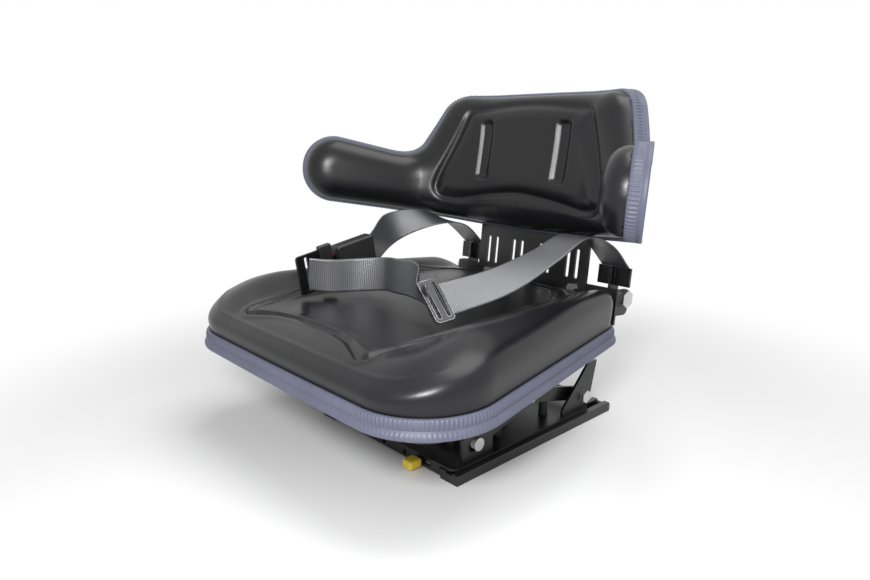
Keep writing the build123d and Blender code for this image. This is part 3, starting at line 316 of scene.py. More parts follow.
def distance_to(loop, x, y):
    """Shortest distance from each point to a closed line, segment by segment."""
    shortest = np.full(x.shape, np.inf)
    for start, end in zip(loop, np.roll(loop, -1, axis=0)):
        along = end - start
        share = ((x - start[0]) * along[0] + (y - start[1]) * along[1]) / max(along @ along, 1e-12)
        share = np.clip(share, 0, 1)
        gap = np.hypot(x - start[0] - share * along[0], y - start[1] - share * along[1])
        shortest = np.minimum(shortest, gap)
    return shortest


def inside(loop, x, y):
    """True where a point lies inside a closed line, by counting crossings to one side."""
    found = np.zeros(x.shape, bool)
    for (x0, y0), (x1, y1) in zip(loop, np.roll(loop, -1, axis=0)):
        if y0 != y1:
            crosses = (y0 > y) != (y1 > y)
            found ^= crosses & (x < x0 + (y - y0) * (x1 - x0) / (y1 - y0))
    return found


def quads(rows, columns, wrap_columns=False, wrap_rows=False):
    """Quad faces of a grid, with the row and column of each corner before any wrap."""
    row, column = np.meshgrid(
        np.arange(rows if wrap_rows else rows - 1),
        np.arange(columns if wrap_columns else columns - 1),
        indexing="ij",
    )
    corner_row = np.stack([row, row, row + 1, row + 1], axis=-1).reshape(-1, 4)
    corner_column = np.stack([column, column + 1, column + 1, column], axis=-1).reshape(-1, 4)
    faces = (corner_row % rows) * columns + corner_column % columns
    return faces, corner_row, corner_column


def make_piece(name, points, faces, material, body, uv=None):
    """A smooth mesh object at the origin with its faces outwards, riding on a body."""
    mesh = bpy.data.meshes.new(name)
    mesh.from_pydata(np.asarray(points, float).reshape(-1, 3).tolist(), [], [list(f) for f in faces])
    if uv is not None:
        layer = mesh.uv_layers.new(name="UVMap")
        layer.data.foreach_set("uv", np.asarray(uv, np.float32).ravel())
    work = bmesh.new()
    work.from_mesh(mesh)
    bmesh.ops.recalc_face_normals(work, faces=work.faces[:])
    work.to_mesh(mesh)
    work.free()
    mesh.polygons.foreach_set("use_smooth", np.ones(len(mesh.polygons), bool))
    mesh.materials.append(material)
    piece = bpy.data.objects.new(name, mesh)
    bpy.context.scene.collection.objects.link(piece)
    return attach(piece, body)


def carried(name, rings, material, body, closed_path, uv_scale=None):
    """A closed section carried along a path: rings[i, j] is point j of the section at step i.

    A path that is open gets a flat cap at each end.
    """
    rows, columns = rings.shape[:2]
    faces, corner_row, corner_column = quads(rows, columns, wrap_columns=True, wrap_rows=closed_path)
    faces = faces.tolist()
    uv = None
    if uv_scale is not None:
        length, width = uv_scale
        along, around = corner_row / (rows - 1) * length, corner_column / columns * width
        uv = np.stack([along, around], axis=-1).reshape(-1, 2)
    if not closed_path:
        ends = [list(range(columns)), [(rows - 1) * columns + j for j in range(columns)]]
        faces += ends
        if uv is not None:
            uv = np.vstack([uv, np.zeros((2 * columns, 2))])
    return make_piece(name, rings, faces, material, body, uv)


# Materials


def new_material(name):
    """An empty node material with its Principled shader, node tree and links helper."""
    material = bpy.data.materials.new(name)
    material.use_nodes = True
    tree = material.node_tree
    return material, tree, tree.nodes["Principled BSDF"]


def node(tree, kind, **values):
    """A new node with the given input values; a name that is no input is set as a property."""
    made = tree.nodes.new(kind)
    for key, value in values.items():
        socket = made.inputs.get(key.replace("_", " "))
        if socket is None:
            setattr(made, key, value)
        else:
            socket.default_value = value
    return made


def group_sockets(tree, inputs, outputs):
    """Names the sockets of a node group: inputs are name, type and start value, outputs name and type."""
    for name, kind, value in inputs:
        socket = tree.interface.new_socket(name, in_out="INPUT", socket_type=kind)
        socket.default_value = value
    for name, kind in outputs:
        tree.interface.new_socket(name, in_out="OUTPUT", socket_type=kind)
    return tree.nodes.new("NodeGroupInput"), tree.nodes.new("NodeGroupOutput")


def grain_group():
    """Pressed hide grain: small rounded cells with shallow furrows, broken up by soft noise."""
    tree = bpy.data.node_groups.new("vinyl_grain", "ShaderNodeTree")
    start, end = group_sockets(
        tree,
        [("Vector", "NodeSocketVector", (0, 0, 0)), ("Scale", "NodeSocketFloat", 900.0)],
        [("Height", "NodeSocketFloat"), ("Soft", "NodeSocketFloat")],
    )
    cells = node(tree, "ShaderNodeTexVoronoi", feature="DISTANCE_TO_EDGE")
    furrow = node(tree, "ShaderNodeMapRange", From_Min=0.0, From_Max=0.22)
    soft = node(tree, "ShaderNodeTexNoise", Scale=22.0, Detail=3.0, Roughness=0.55)
    fine = node(tree, "ShaderNodeTexNoise", Detail=2.0)
    mix = node(tree, "ShaderNodeMath", operation="MULTIPLY_ADD")
    mix.inputs[1].default_value = 0.35
    link = tree.links.new
    link(start.outputs["Vector"], cells.inputs["Vector"])
    link(start.outputs["Scale"], cells.inputs["Scale"])
    link(start.outputs["Vector"], soft.inputs["Vector"])
    link(start.outputs["Vector"], fine.inputs["Vector"])
    link(start.outputs["Scale"], fine.inputs["Scale"])
    link(cells.outputs["Distance"], furrow.inputs["Value"])
    link(fine.outputs["Fac"], mix.inputs[0])
    link(furrow.outputs["Result"], mix.inputs[2])
    link(mix.outputs["Value"], end.inputs["Height"])
    link(soft.outputs["Fac"], end.inputs["Soft"])
    return tree


def place_group(tree, group, **values):
    """A node that holds a shared group, with its own input values."""
    made = tree.nodes.new("ShaderNodeGroup")
    made.node_tree = group
    for key, value in values.items():
        made.inputs[key].default_value = value
    return made


def ramp(tree, low, high):
    """A Map Range node from 0..1 to the two values."""
    made = tree.nodes.new("ShaderNodeMapRange")
    made.inputs["To Min"].default_value = low
    made.inputs["To Max"].default_value = high
    return made


def colour_mix(tree, first, second):
    """A colour Mix node between two colours; its factor is input 0, its result output 2."""
    made = tree.nodes.new("ShaderNodeMix")
    made.data_type = "RGBA"
    made.inputs[6].default_value = (*first, 1)
    made.inputs[7].default_value = (*second, 1)
    return made


def vinyl_material(name, dark, light, rough, shine, bump, grain):
    """Moulded vinyl skin: fine grain as bump, soft cloudiness in colour and gloss."""
    material, tree, shader = new_material(name)
    link = tree.links.new
    place = tree.nodes.new("ShaderNodeTexCoord")
    hide = place_group(tree, grain, Scale=900.0)
    gloss = ramp(tree, *rough)
    colour = colour_mix(tree, dark, light)
    relief = node(tree, "ShaderNodeBump", Strength=bump, Distance=0.0004)
    shader.inputs["Specular IOR Level"].default_value = shine
    link(place.outputs["Object"], hide.inputs["Vector"])
    link(hide.outputs["Soft"], gloss.inputs["Value"])
    link(hide.outputs["Soft"], colour.inputs[0])
    link(colour.outputs[2], shader.inputs["Base Color"])
    link(gloss.outputs["Result"], shader.inputs["Roughness"])
    link(hide.outputs["Height"], relief.inputs["Height"])
    link(relief.outputs["Normal"], shader.inputs["Normal"])
    return material


def metal_group():
    """Fine speckle and soft blotches for painted or plated metal, and a mask of rubbed edges.

    The edge mask is how far the rounded normal turns from the true one, broken up by the blotches.
    """
    tree = bpy.data.node_groups.new("metal_surface", "ShaderNodeTree")
    start, end = group_sockets(
        tree,
        [("Vector", "NodeSocketVector", (0, 0, 0)), ("Scale", "NodeSocketFloat", 500.0)],
        [("Speckle", "NodeSocketFloat"), ("Blotch", "NodeSocketFloat"), ("Wear", "NodeSocketFloat")],
    )
    speckle = node(tree, "ShaderNodeTexNoise", Detail=3.0, Roughness=0.6)
    blotch = node(tree, "ShaderNodeTexNoise", Scale=35.0, Detail=4.0, Roughness=0.6)
    rounded = node(tree, "ShaderNodeBevel", samples=4, Radius=0.0012)
    true = tree.nodes.new("ShaderNodeNewGeometry")
    turn = node(tree, "ShaderNodeVectorMath", operation="DOT_PRODUCT")
    edge = node(tree, "ShaderNodeMapRange", From_Min=0.99, From_Max=0.80)
    patchy = node(tree, "ShaderNodeMapRange", From_Min=0.35, From_Max=0.65)
    rubbed = node(tree, "ShaderNodeMath", operation="MULTIPLY")
    link = tree.links.new
    link(start.outputs["Vector"], speckle.inputs["Vector"])
    link(start.outputs["Scale"], speckle.inputs["Scale"])
    link(start.outputs["Vector"], blotch.inputs["Vector"])
    link(rounded.outputs["Normal"], turn.inputs[0])
    link(true.outputs["Normal"], turn.inputs[1])
    link(turn.outputs["Value"], edge.inputs["Value"])
    link(blotch.outputs["Fac"], patchy.inputs["Value"])
    link(edge.outputs["Result"], rubbed.inputs[0])
    link(patchy.outputs["Result"], rubbed.inputs[1])
    link(speckle.outputs["Fac"], end.inputs["Speckle"])
    link(blotch.outputs["Fac"], end.inputs["Blotch"])
    link(rubbed.outputs["Value"], end.inputs["Wear"])
    return tree


def metal_material(name, dark, light, worn, rough, metallic, bump, surface):
    """Painted or plated metal, or hard plastic: speckled bump, blotchy colour and gloss, rubbed edges."""
    material, tree, shader = new_material(name)
    link = tree.links.new
    place = tree.nodes.new("ShaderNodeTexCoord")
    skin = place_group(tree, surface, Scale=700.0)
    gloss = ramp(tree, *rough)
    colour = colour_mix(tree, dark, light)
    edged = colour_mix(tree, dark, worn)
    relief = node(tree, "ShaderNodeBump", Strength=bump, Distance=0.0003)
    shader.inputs["Metallic"].default_value = metallic
    link(place.outputs["Object"], skin.inputs["Vector"])
    link(skin.outputs["Blotch"], gloss.inputs["Value"])
    link(skin.outputs["Blotch"], colour.inputs[0])
    link(colour.outputs[2], edged.inputs[6])
    link(skin.outputs["Wear"], edged.inputs[0])
    link(edged.outputs[2], shader.inputs["Base Color"])
    link(gloss.outputs["Result"], shader.inputs["Roughness"])
    link(skin.outputs["Speckle"], relief.inputs["Height"])
    link(relief.outputs["Normal"], shader.inputs["Normal"])
    return material


def webbing_material(surface):
    """Woven belt: ribs across the strap and slanted threads between them, from the strap's own map.

    Two rows of stitches near each strap's first end are narrow bands along it, cut into dashes across.
    """
    material, tree, shader = new_material("belt_webbing")
    link = tree.links.new
    place = tree.nodes.new("ShaderNodeTexCoord")
    ribs = node(tree, "ShaderNodeTexWave", Scale=105.0, Distortion=0.5, bands_direction="X")
    ribs.inputs["Detail Scale"].default_value = 2.0
    threads = node(tree, "ShaderNodeTexWave", Scale=240.0, Distortion=1.0, bands_direction="DIAGONAL")
    add = node(tree, "ShaderNodeMath", operation="MULTIPLY_ADD")
    add.inputs[1].default_value = 0.6
    split = tree.nodes.new("ShaderNodeSeparateXYZ")
    rows = node(tree, "ShaderNodeMath", operation="PINGPONG")
    rows.inputs[1].default_value = STITCH_ROWS
    near_row = node(tree, "ShaderNodeMapRange", From_Min=STITCH_WIDTH, From_Max=0.0)
    sewn = node(tree, "ShaderNodeMapRange", From_Min=STITCH_REACH, From_Max=STITCH_REACH - STITCH_WIDTH)
    dashes = node(tree, "ShaderNodeTexWave", Scale=90.0, bands_direction="Y")
    stitch = node(tree, "ShaderNodeMath", operation="MULTIPLY")
    dashed = node(tree, "ShaderNodeMath", operation="MULTIPLY")
    skin = place_group(tree, surface, Scale=900.0)
    colour = colour_mix(tree, (0.012, 0.012, 0.014), (0.080, 0.082, 0.094))
    thread = colour_mix(tree, (0, 0, 0), (0.16, 0.15, 0.13))
    gloss = ramp(tree, 0.26, 0.40)
    relief = node(tree, "ShaderNodeBump", Strength=0.45, Distance=0.0005)
    shader.inputs["Specular IOR Level"].default_value = 1.0
    shader.inputs["Coat Weight"].default_value = 0.5
    shader.inputs["Coat Roughness"].default_value = 0.35
    link(place.outputs["UV"], ribs.inputs["Vector"])
    link(place.outputs["UV"], threads.inputs["Vector"])
    link(place.outputs["UV"], dashes.inputs["Vector"])
    link(place.outputs["UV"], split.inputs["Vector"])
    link(place.outputs["Object"], skin.inputs["Vector"])
    link(split.outputs["X"], rows.inputs[0])
    link(split.outputs["X"], sewn.inputs["Value"])
    link(rows.outputs["Value"], near_row.inputs["Value"])
    link(near_row.outputs["Result"], stitch.inputs[0])
    link(sewn.outputs["Result"], stitch.inputs[1])
    link(stitch.outputs["Value"], dashed.inputs[0])
    link(dashes.outputs["Fac"], dashed.inputs[1])
    link(threads.outputs["Fac"], add.inputs[0])
    link(ribs.outputs["Fac"], add.inputs[2])
    link(add.outputs["Value"], relief.inputs["Height"])
    link(ribs.outputs["Fac"], colour.inputs[0])
    link(colour.outputs[2], thread.inputs[6])
    link(dashed.outputs["Value"], thread.inputs[0])
    link(thread.outputs[2], shader.inputs["Base Color"])
    link(skin.outputs["Blotch"], gloss.inputs["Value"])
    link(gloss.outputs["Result"], shader.inputs["Roughness"])
    link(relief.outputs["Normal"], shader.inputs["Normal"])
    return material


grain = grain_group()
surface = metal_group()
vinyl = vinyl_material(
    "black_vinyl", dark=(0.005, 0.005, 0.006), light=(0.009, 0.009, 0.0105),
    rough=(0.27, 0.34), shine=0.36, bump=0.05, grain=grain,
)
trim = vinyl_material(
    "grey_trim", dark=(0.080, 0.085, 0.125), light=(0.120, 0.127, 0.180),
    rough=(0.40, 0.52), shine=0.40, bump=0.06, grain=grain,
)
paint = metal_material(
    "black_paint", dark=(0.007, 0.007, 0.008), light=(0.014, 0.014, 0.015), worn=(0.05, 0.05, 0.05),
    rough=(0.26, 0.42), metallic=0.0, bump=0.10, surface=surface,
)
zinc = metal_material(
    "zinc_steel", dark=(0.50, 0.50, 0.49), light=(0.68, 0.68, 0.67), worn=(0.80, 0.80, 0.79),
    rough=(0.24, 0.42), metallic=1.0, bump=0.06, surface=surface,
)
dark_steel = metal_material(
    "darkened_steel", dark=(0.030, 0.030, 0.032), light=(0.055, 0.055, 0.057), worn=(0.60, 0.60, 0.60),
    rough=(0.24, 0.40), metallic=1.0, bump=0.08, surface=surface,
)
black_plastic = metal_material(
    "black_plastic", dark=(0.008, 0.008, 0.008), light=(0.015, 0.015, 0.016), worn=(0.04, 0.04, 0.04),
    rough=(0.30, 0.45), metallic=0.0, bump=0.15, surface=surface,
)
nylon = metal_material(
    "nylon", dark=(0.62, 0.60, 0.54), light=(0.72, 0.70, 0.64), worn=(0.78, 0.76, 0.70),
    rough=(0.45, 0.60), metallic=0.0, bump=0.05, surface=surface,
)
yellow_plastic = metal_material(
    "yellow_plastic", dark=(0.72, 0.50, 0.03), light=(0.82, 0.60, 0.05), worn=(0.88, 0.68, 0.15),
    rough=(0.35, 0.50), metallic=0.0, bump=0.08, surface=surface,
)
red_plastic = metal_material(
    "red_plastic", dark=(0.55, 0.02, 0.015), light=(0.68, 0.035, 0.025), worn=(0.75, 0.10, 0.08),
    rough=(0.30, 0.40), metallic=0.0, bump=0.05, surface=surface,
)
rubber = metal_material(
    "black_rubber", dark=(0.015, 0.015, 0.015), light=(0.03, 0.03, 0.03), worn=(0.05, 0.05, 0.05),
    rough=(0.60, 0.80), metallic=0.0, bump=0.20, surface=surface,
)
webbing = webbing_material(surface)

# Each solid that is shown as it is takes the finish of its slot; the belt's own fittings are darkened
finishes = {
    "black_paint": paint, "zinc_steel": zinc, "black_plastic": black_plastic, "nylon": nylon,
    "yellow_plastic": yellow_plastic, "red_plastic": red_plastic, "black_rubber": rubber,
    "black_vinyl": vinyl, "grey_trim": trim, "webbing": webbing,
}
DARKENED = ("belt_tongue", "belt_adjuster", "belt_anchor_plate")
for part in frame["record"]["subparts"]:
    mesh = nodes[part["node"]].data
    darkened = part["node"].startswith(DARKENED)
    mesh.materials.clear()
    mesh.materials.append(dark_steel if darkened else finishes[part["material_slot"]])


# Seat cushion


def seat_loop(count):
    """The seat's plan: bowed front, round front corners, sides that narrow to the rear."""
    half = [(0, SEAT_FRONT - SEAT_BOW), (SEAT_HALF, SEAT_FRONT), (SEAT_REAR_HALF, SEAT_REAR), (0, SEAT_REAR)]
    corners = half[:3] + [(-x, y) for x, y in half[2:0:-1]]
    radii = [BOW_RADIUS, FRONT_CORNER, REAR_CORNER, REAR_CORNER, FRONT_CORNER]
    return rounded_loop(corners, radii, count)


def seat_top(x, y):
    """Height of the sitting surface at plan points.

    A level middle, side bolsters that fade out to the front by smooth steps, a front edge that drops, and
    a flat-bottomed channel: its depth times exp(-(distance / width) to the sixth), between two low lips.
    """
    bolster = smoothstep((np.abs(x) - BOLSTER_FROM) / (BOLSTER_TO - BOLSTER_FROM))
    fade = smoothstep((y - FRONT_FADE[0]) / (FRONT_FADE[1] - FRONT_FADE[0]))
    rear = smoothstep((y - FRONT_FADE[1]) / (SEAT_REAR - FRONT_FADE[1]))
    drop = smoothstep((y - FRONT_DROP_FROM) / (FRONT_DROP_TO - FRONT_DROP_FROM))
    height = SEAT_TOP + BOLSTER_RISE * bolster * fade + REAR_RISE * rear - FRONT_DROP * drop
    line, radii = mirrored_loop(CHANNEL_HALF, CHANNEL_CORNER)
    gap = distance_to(rounded_loop(line, radii, LINE_POINTS), x, y)
    side = smoothstep((y - CHANNEL_SIDE_FROM) / (CHANNEL_SIDE_TO - CHANNEL_SIDE_FROM))
    strength = 1 - (1 - CHANNEL_SIDE_SHARE) * side
    groove = np.exp(-((gap / CHANNEL_WIDTH) ** CHANNEL_POWER))
    lip = np.exp(-(((gap - LIP_PLACE * CHANNEL_WIDTH) / CHANNEL_WIDTH) ** 2))
    return height + strength * (CHANNEL_LIP * lip - CHANNEL_DEPTH * groove)


def cushion_rings():
    """Rings from the foot up the wall and over the top to the middle.

    On the wall the angle runs from 0 to a quarter turn: the ring moves in by roll x (1 - cos) and
    rises by the height x sin, both to the roll's power, with a low ridge along the front shoulder; over
    the top the rings shrink to the middle, close together near the edge and wider further in.
    """
    loop = seat_loop(SEAT_COLUMNS)
    out = outward(loop)
    angle = np.linspace(0, np.pi / 2, WALL_ROWS)
    inward = CUSHION_ROLL * (1 - np.cos(angle) ** (2 / ROLL_POWER))
    rise = np.sin(angle) ** (2 / ROLL_POWER)
    bulge = CUSHION_BULGE * np.sin(2 * angle) ** 2
    edge = loop[None] - out[None] * (inward - bulge)[:, None, None]
    inner = edge[-1]
    middle = np.array([0.0, (SEAT_FRONT + SEAT_REAR) / 2])
    close = np.linspace(1, CLOSE_SHARE, CLOSE_ROWS)[1:]
    share = np.concatenate([close, np.linspace(CLOSE_SHARE, 0, MIDDLE_ROWS)[1:-1]])
    top = middle + (inner - middle)[None] * share[:, None, None]
    foot_height = CUSHION_LOW + CUSHION_FOOT
    ridge = SHOULDER_RISE * np.exp(-(((inward - SHOULDER_INSET) / SHOULDER_WIDTH) ** 2))
    front = smoothstep((edge[..., 1] - SHOULDER_FADE[0]) / (SHOULDER_FADE[1] - SHOULDER_FADE[0]))
    wall_top = seat_top(edge[..., 0], edge[..., 1])
    wall_high = foot_height + (wall_top - foot_height) * rise[:, None] + ridge[:, None] * front
    foot = np.column_stack([loop, np.full(SEAT_COLUMNS, CUSHION_LOW)])[None]
    wall = np.concatenate([edge, wall_high[..., None]], axis=-1)
    cap = np.concatenate([top, seat_top(top[..., 0], top[..., 1])[..., None]], axis=-1)
    return np.concatenate([foot, wall, cap]), middle


def seat_cushion():
    """The cushion as one closed skin, with a pole in the middle of its top and one below."""
    rings, middle = cushion_rings()
    rows, columns = rings.shape[:2]
    pole_high = float(seat_top(np.array([middle[0]]), np.array([middle[1]]))[0])
    points = np.vstack([rings.reshape(-1, 3), [[*middle, pole_high], [*middle, CUSHION_LOW]]])
    here = np.arange(columns)
    ahead = (here + 1) % columns
    last = (rows - 1) * columns
    pole = np.full(columns, rows * columns)
    top_fan = np.stack([last + here, last + ahead, pole], axis=1)
    low_fan = np.stack([ahead, here, pole + 1], axis=1)
    faces = quads(rows, columns, wrap_columns=True)[0].tolist() + top_fan.tolist() + low_fan.tolist()
    piece = make_piece("seat_cushion_skin", points, faces, vinyl, "seat")
    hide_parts("seat_cushion")


def smooth_section(section, count):
    """A closed section drawn with few points, rounded by a closed cubic through them."""
    points = np.array(section, float)
    size = len(points)
    at = np.arange(count) / count * size
    index = at.astype(int)
    t = (at - index)[:, None]
    p0, p1, p2, p3 = (points[(index + k) % size] for k in (-1, 0, 1, 2))
    m1, m2 = (p2 - p0) * SECTION_TENSION, (p3 - p1) * SECTION_TENSION
    return (
        (2 * t**3 - 3 * t**2 + 1) * p1 + (t**3 - 2 * t**2 + t) * m1
        + (-2 * t**3 + 3 * t**2) * p2 + (t**3 - t**2) * m2
    )


def strip_teeth(section, along, band, height, pitch):
    """How far each point of a strip's section is pressed in: rounded teeth along it within one band."""
    low, high = band
    across = smoothstep((section - low) / RIB_EDGE) * smoothstep((high - section) / RIB_EDGE)
    tooth = 0.5 + 0.5 * np.cos(2 * np.pi * along / pitch)
    return height * across[None] * (1 - tooth**TOOTH_POWER)[:, None]


def seat_edge_strip():
    """The ribbed strip round the seat: its section carried along the plan, toothed band over a finer bead."""
    length = np.sum(np.linalg.norm(np.diff(seat_loop(SEAT_COLUMNS), axis=0), axis=1))
    teeth = int(length / RIB_PITCH)
    count = teeth * RIB_SAMPLES
    loop = seat_loop(count)
    out = outward(loop)
    section = smooth_section(SEAT_STRIP_SECTION, SEAT_STRIP_POINTS)
    along = np.arange(count) / RIB_SAMPLES * RIB_PITCH
    outer = section[:, 0] > STRIP_OUTER
    press = strip_teeth(section[:, 1], along, SEAT_TEETH, RIB_HEIGHT, RIB_PITCH)
    press += strip_teeth(section[:, 1], along + RIB_PITCH / 2, SEAT_BEAD, BEAD_SHARE * RIB_HEIGHT, RIB_PITCH)
    reach = section[None, :, 0] - press * outer
    flat = loop[:, None] + out[:, None] * reach[..., None]
    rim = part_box("seat_pan")[1].z
    height = np.broadcast_to(rim + section[None, :, 1], reach.shape)
    rings = np.concatenate([flat, height[..., None]], axis=-1)
    piece = carried("seat_edge_strip_ribbed", rings, trim, "seat", closed_path=True)
    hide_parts("seat_edge_strip")


# Backrest


def back_point(along, height, depth):
    """A point of the backrest: along its curve from the middle, up, and behind its face.

    The plan is a flat middle, an arc to each side and a straight wing; the whole is then leaned back.
    """
    side = np.sign(along)
    run = np.abs(along)
    angle = np.clip((run - BACK_FLAT) / BACK_RADIUS, 0, BACK_TURN)
    wing = np.maximum(run - BACK_FLAT - BACK_RADIUS * BACK_TURN, 0)
    x = np.minimum(run, BACK_FLAT) + (BACK_RADIUS + depth) * np.sin(angle) + wing * np.cos(BACK_TURN)
    y = BACK_FACE - BACK_RADIUS + (BACK_RADIUS + depth) * np.cos(angle) - wing * np.sin(BACK_TURN)
    y_arm, z_arm = y - LEAN_Y, height - LEAN_Z
    y_leaned = LEAN_Y + y_arm * np.cos(BACK_LEAN) + z_arm * np.sin(BACK_LEAN)
    z_leaned = LEAN_Z - y_arm * np.sin(BACK_LEAN) + z_arm * np.cos(BACK_LEAN)
    return np.stack(np.broadcast_arrays(side * x, y_leaned, z_leaned), axis=-1)


def back_loop(count, grow=0.0):
    """The backrest's outline on its own curve, clockwise from the top middle, moved out by a distance."""
    line, radii = mirrored_loop(BACK_HALF, BACK_CORNER)
    loop = rounded_loop(line, radii, count)
    return loop + outward(loop) * grow


def back_relief(along, height):
    """How far the backrest's face is pressed in: a panel's outline, and two flutes that part it in three.

    The groove is a bell curve of the distance to the panel's line, the flutes are flat-bottomed bands, and
    inside the line the face stands forward by a smooth step.
    """
    line, radii = mirrored_loop(PANEL_HALF, PANEL_CORNER)
    loop = rounded_loop(line, radii, LINE_POINTS)
    gap = distance_to(loop, along, height)
    within = inside(loop, along, height)
    groove = PANEL_DEPTH * np.exp(-((gap / PANEL_WIDTH) ** 2))
    lobe = LOBE_RISE * np.where(within, smoothstep(gap / LOBE_REACH), 0)
    ends = smoothstep((height - FLUTE_LOW) / FLUTE_FADE) * smoothstep((FLUTE_HIGH - height) / FLUTE_FADE)
    off = (np.abs(along) - FLUTE_PLACE) / FLUTE_WIDTH
    flute = FLUTE_DEPTH * ends * np.exp(-(off**FLUTE_POWER))
    return groove + flute - lobe


def back_belly(along, height):
    """How far the face stands forward: a parabola across, growing by a smooth step to the foot."""
    across = np.maximum(1 - (along / BELLY_HALF) ** 2, 0)
    low = smoothstep((height - BELLY_FROM) / (BELLY_TO - BELLY_FROM))
    return across * (BELLY_TOP + (BELLY_LOW - BELLY_TOP) * low)


def back_grid():
    """Places of the pad's face on its own curve: columns along it that crowd at the tips, rows that crowd
    at both edges, and the outline they end on."""
    loop = back_loop(BACK_LOOP_POINTS, BACK_GROW)
    parting = np.interp(np.abs(loop[:, 0]), PARTING_ALONG, PARTING_HEIGHT)
    upper = loop[loop[:, 1] > parting]
    lower = loop[loop[:, 1] <= parting]
    upper = upper[np.argsort(upper[:, 0])]
    lower = lower[np.argsort(lower[:, 0])]
    reach = loop[:, 0].max() * TIP_SHARE
    along = reach * np.sin(np.linspace(-np.pi / 2, np.pi / 2, BACK_COLUMNS))
    along = 0.5 * along + 0.5 * reach * np.sin(along / reach * np.pi / 2)
    low = np.interp(along, lower[:, 0], lower[:, 1])
    high = np.interp(along, upper[:, 0], upper[:, 1])
    share = 0.5 - 0.5 * np.cos(np.linspace(0, np.pi, BACK_ROWS))
    share = 0.5 * share + 0.5 * np.linspace(0, 1, BACK_ROWS)
    height = low + (high - low) * share[:, None]
    return np.broadcast_to(along, height.shape), height, loop


def back_cushion():
    """The padded front and its flat back as one closed skin.

    The face rolls back at the rim: its depth is the rim's depth times one minus a superellipse of the
    distance to the outline, less the belly, plus the pressed lines. The back spans its rows in one step.
    """
    along, height, loop = back_grid()
    gap = distance_to(loop[::2], along, height)
    roll = np.clip((gap - RIM_FLAT) / BACK_ROLL, 0, 1)
    crown = (1 - (1 - roll) ** ROLL_POWER) ** (1 / ROLL_POWER)
    depth = BACK_RIM - (BACK_RIM + BACK_CROWN) * crown
    depth = depth + crown * (back_relief(along, height) - back_belly(along, height))
    front = back_point(along, height, depth)
    rear_depth = np.full((2, BACK_COLUMNS), PAD_DEPTH - PAD_REAR_GAP)
    rear = back_point(along[[0, -1]], height[[0, -1]], rear_depth)
    rows, columns = height.shape
    size = rows * columns
    column = np.arange(columns - 1)
    low, high = column, size - columns + column
    rear_low, rear_high = size + column, size + columns + column
    back = np.stack([rear_low, rear_low + 1, rear_high + 1, rear_high], axis=1)
    foot = np.stack([low, low + 1, rear_low + 1, rear_low], axis=1)
    head = np.stack([high, high + 1, rear_high + 1, rear_high], axis=1)
    tip = np.arange(rows) * columns
    tips = [
        tip.tolist() + [size + columns, size],
        (tip + columns - 1).tolist() + [size + 2 * columns - 1, size + columns - 1],
    ]
    points = np.concatenate([front.reshape(-1, 3), rear.reshape(-1, 3)])
    faces = np.concatenate([quads(rows, columns)[0], back, foot, head]).tolist() + tips
    piece = make_piece("back_cushion_skin", points, faces, vinyl, "seat")
    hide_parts("back_cushion")


def back_edge_strip():
    """The ribbed strip round the backrest: its section carried along the outline, behind the pad's rim."""
    length = np.sum(np.linalg.norm(np.diff(back_loop(STRIP_MEASURE), axis=0), axis=1))
    teeth = int(length / RIB_PITCH)
    count = teeth * RIB_SAMPLES
    loop = back_loop(count)
    out = outward(loop)
    section = smooth_section(BACK_STRIP_SECTION, BACK_STRIP_POINTS)
    along = np.arange(count) / RIB_SAMPLES * RIB_PITCH
    outer = section[:, 0] > BACK_STRIP_OUTER
    press = strip_teeth(section[:, 1], along, BACK_TEETH, RIB_HEIGHT, RIB_PITCH)
    reach = section[None, :, 0] - press * outer
    flat = loop[:, None] + out[:, None] * reach[..., None]
    depth = np.broadcast_to(section[None, :, 1], reach.shape)
    rings = back_point(flat[..., 0], flat[..., 1], depth)
    piece = carried("back_edge_strip_ribbed", rings, trim, "seat", closed_path=True)
    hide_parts("back_edge_strip")


# Belt webbing and springs


def smooth_path(at, points, count):
    """Points on a cubic through all the given points, each at its own distance along the path, with each
    middle tangent along its neighbours."""
    points = np.array(points, float)
    step = np.diff(at)
    tangent = np.gradient(points, at, axis=0)
    place = np.linspace(0, at[-1], count)
    index = np.clip(np.searchsorted(at, place, side="right") - 1, 0, len(points) - 2)
    span = step[index][:, None]
    t = ((place - at[index]) / step[index])[:, None]
    return (
        (2 * t**3 - 3 * t**2 + 1) * points[index] + (t**3 - 2 * t**2 + t) * span * tangent[index]
        + (-2 * t**3 + 3 * t**2) * points[index + 1] + (t**3 - t**2) * span * tangent[index + 1]
    )


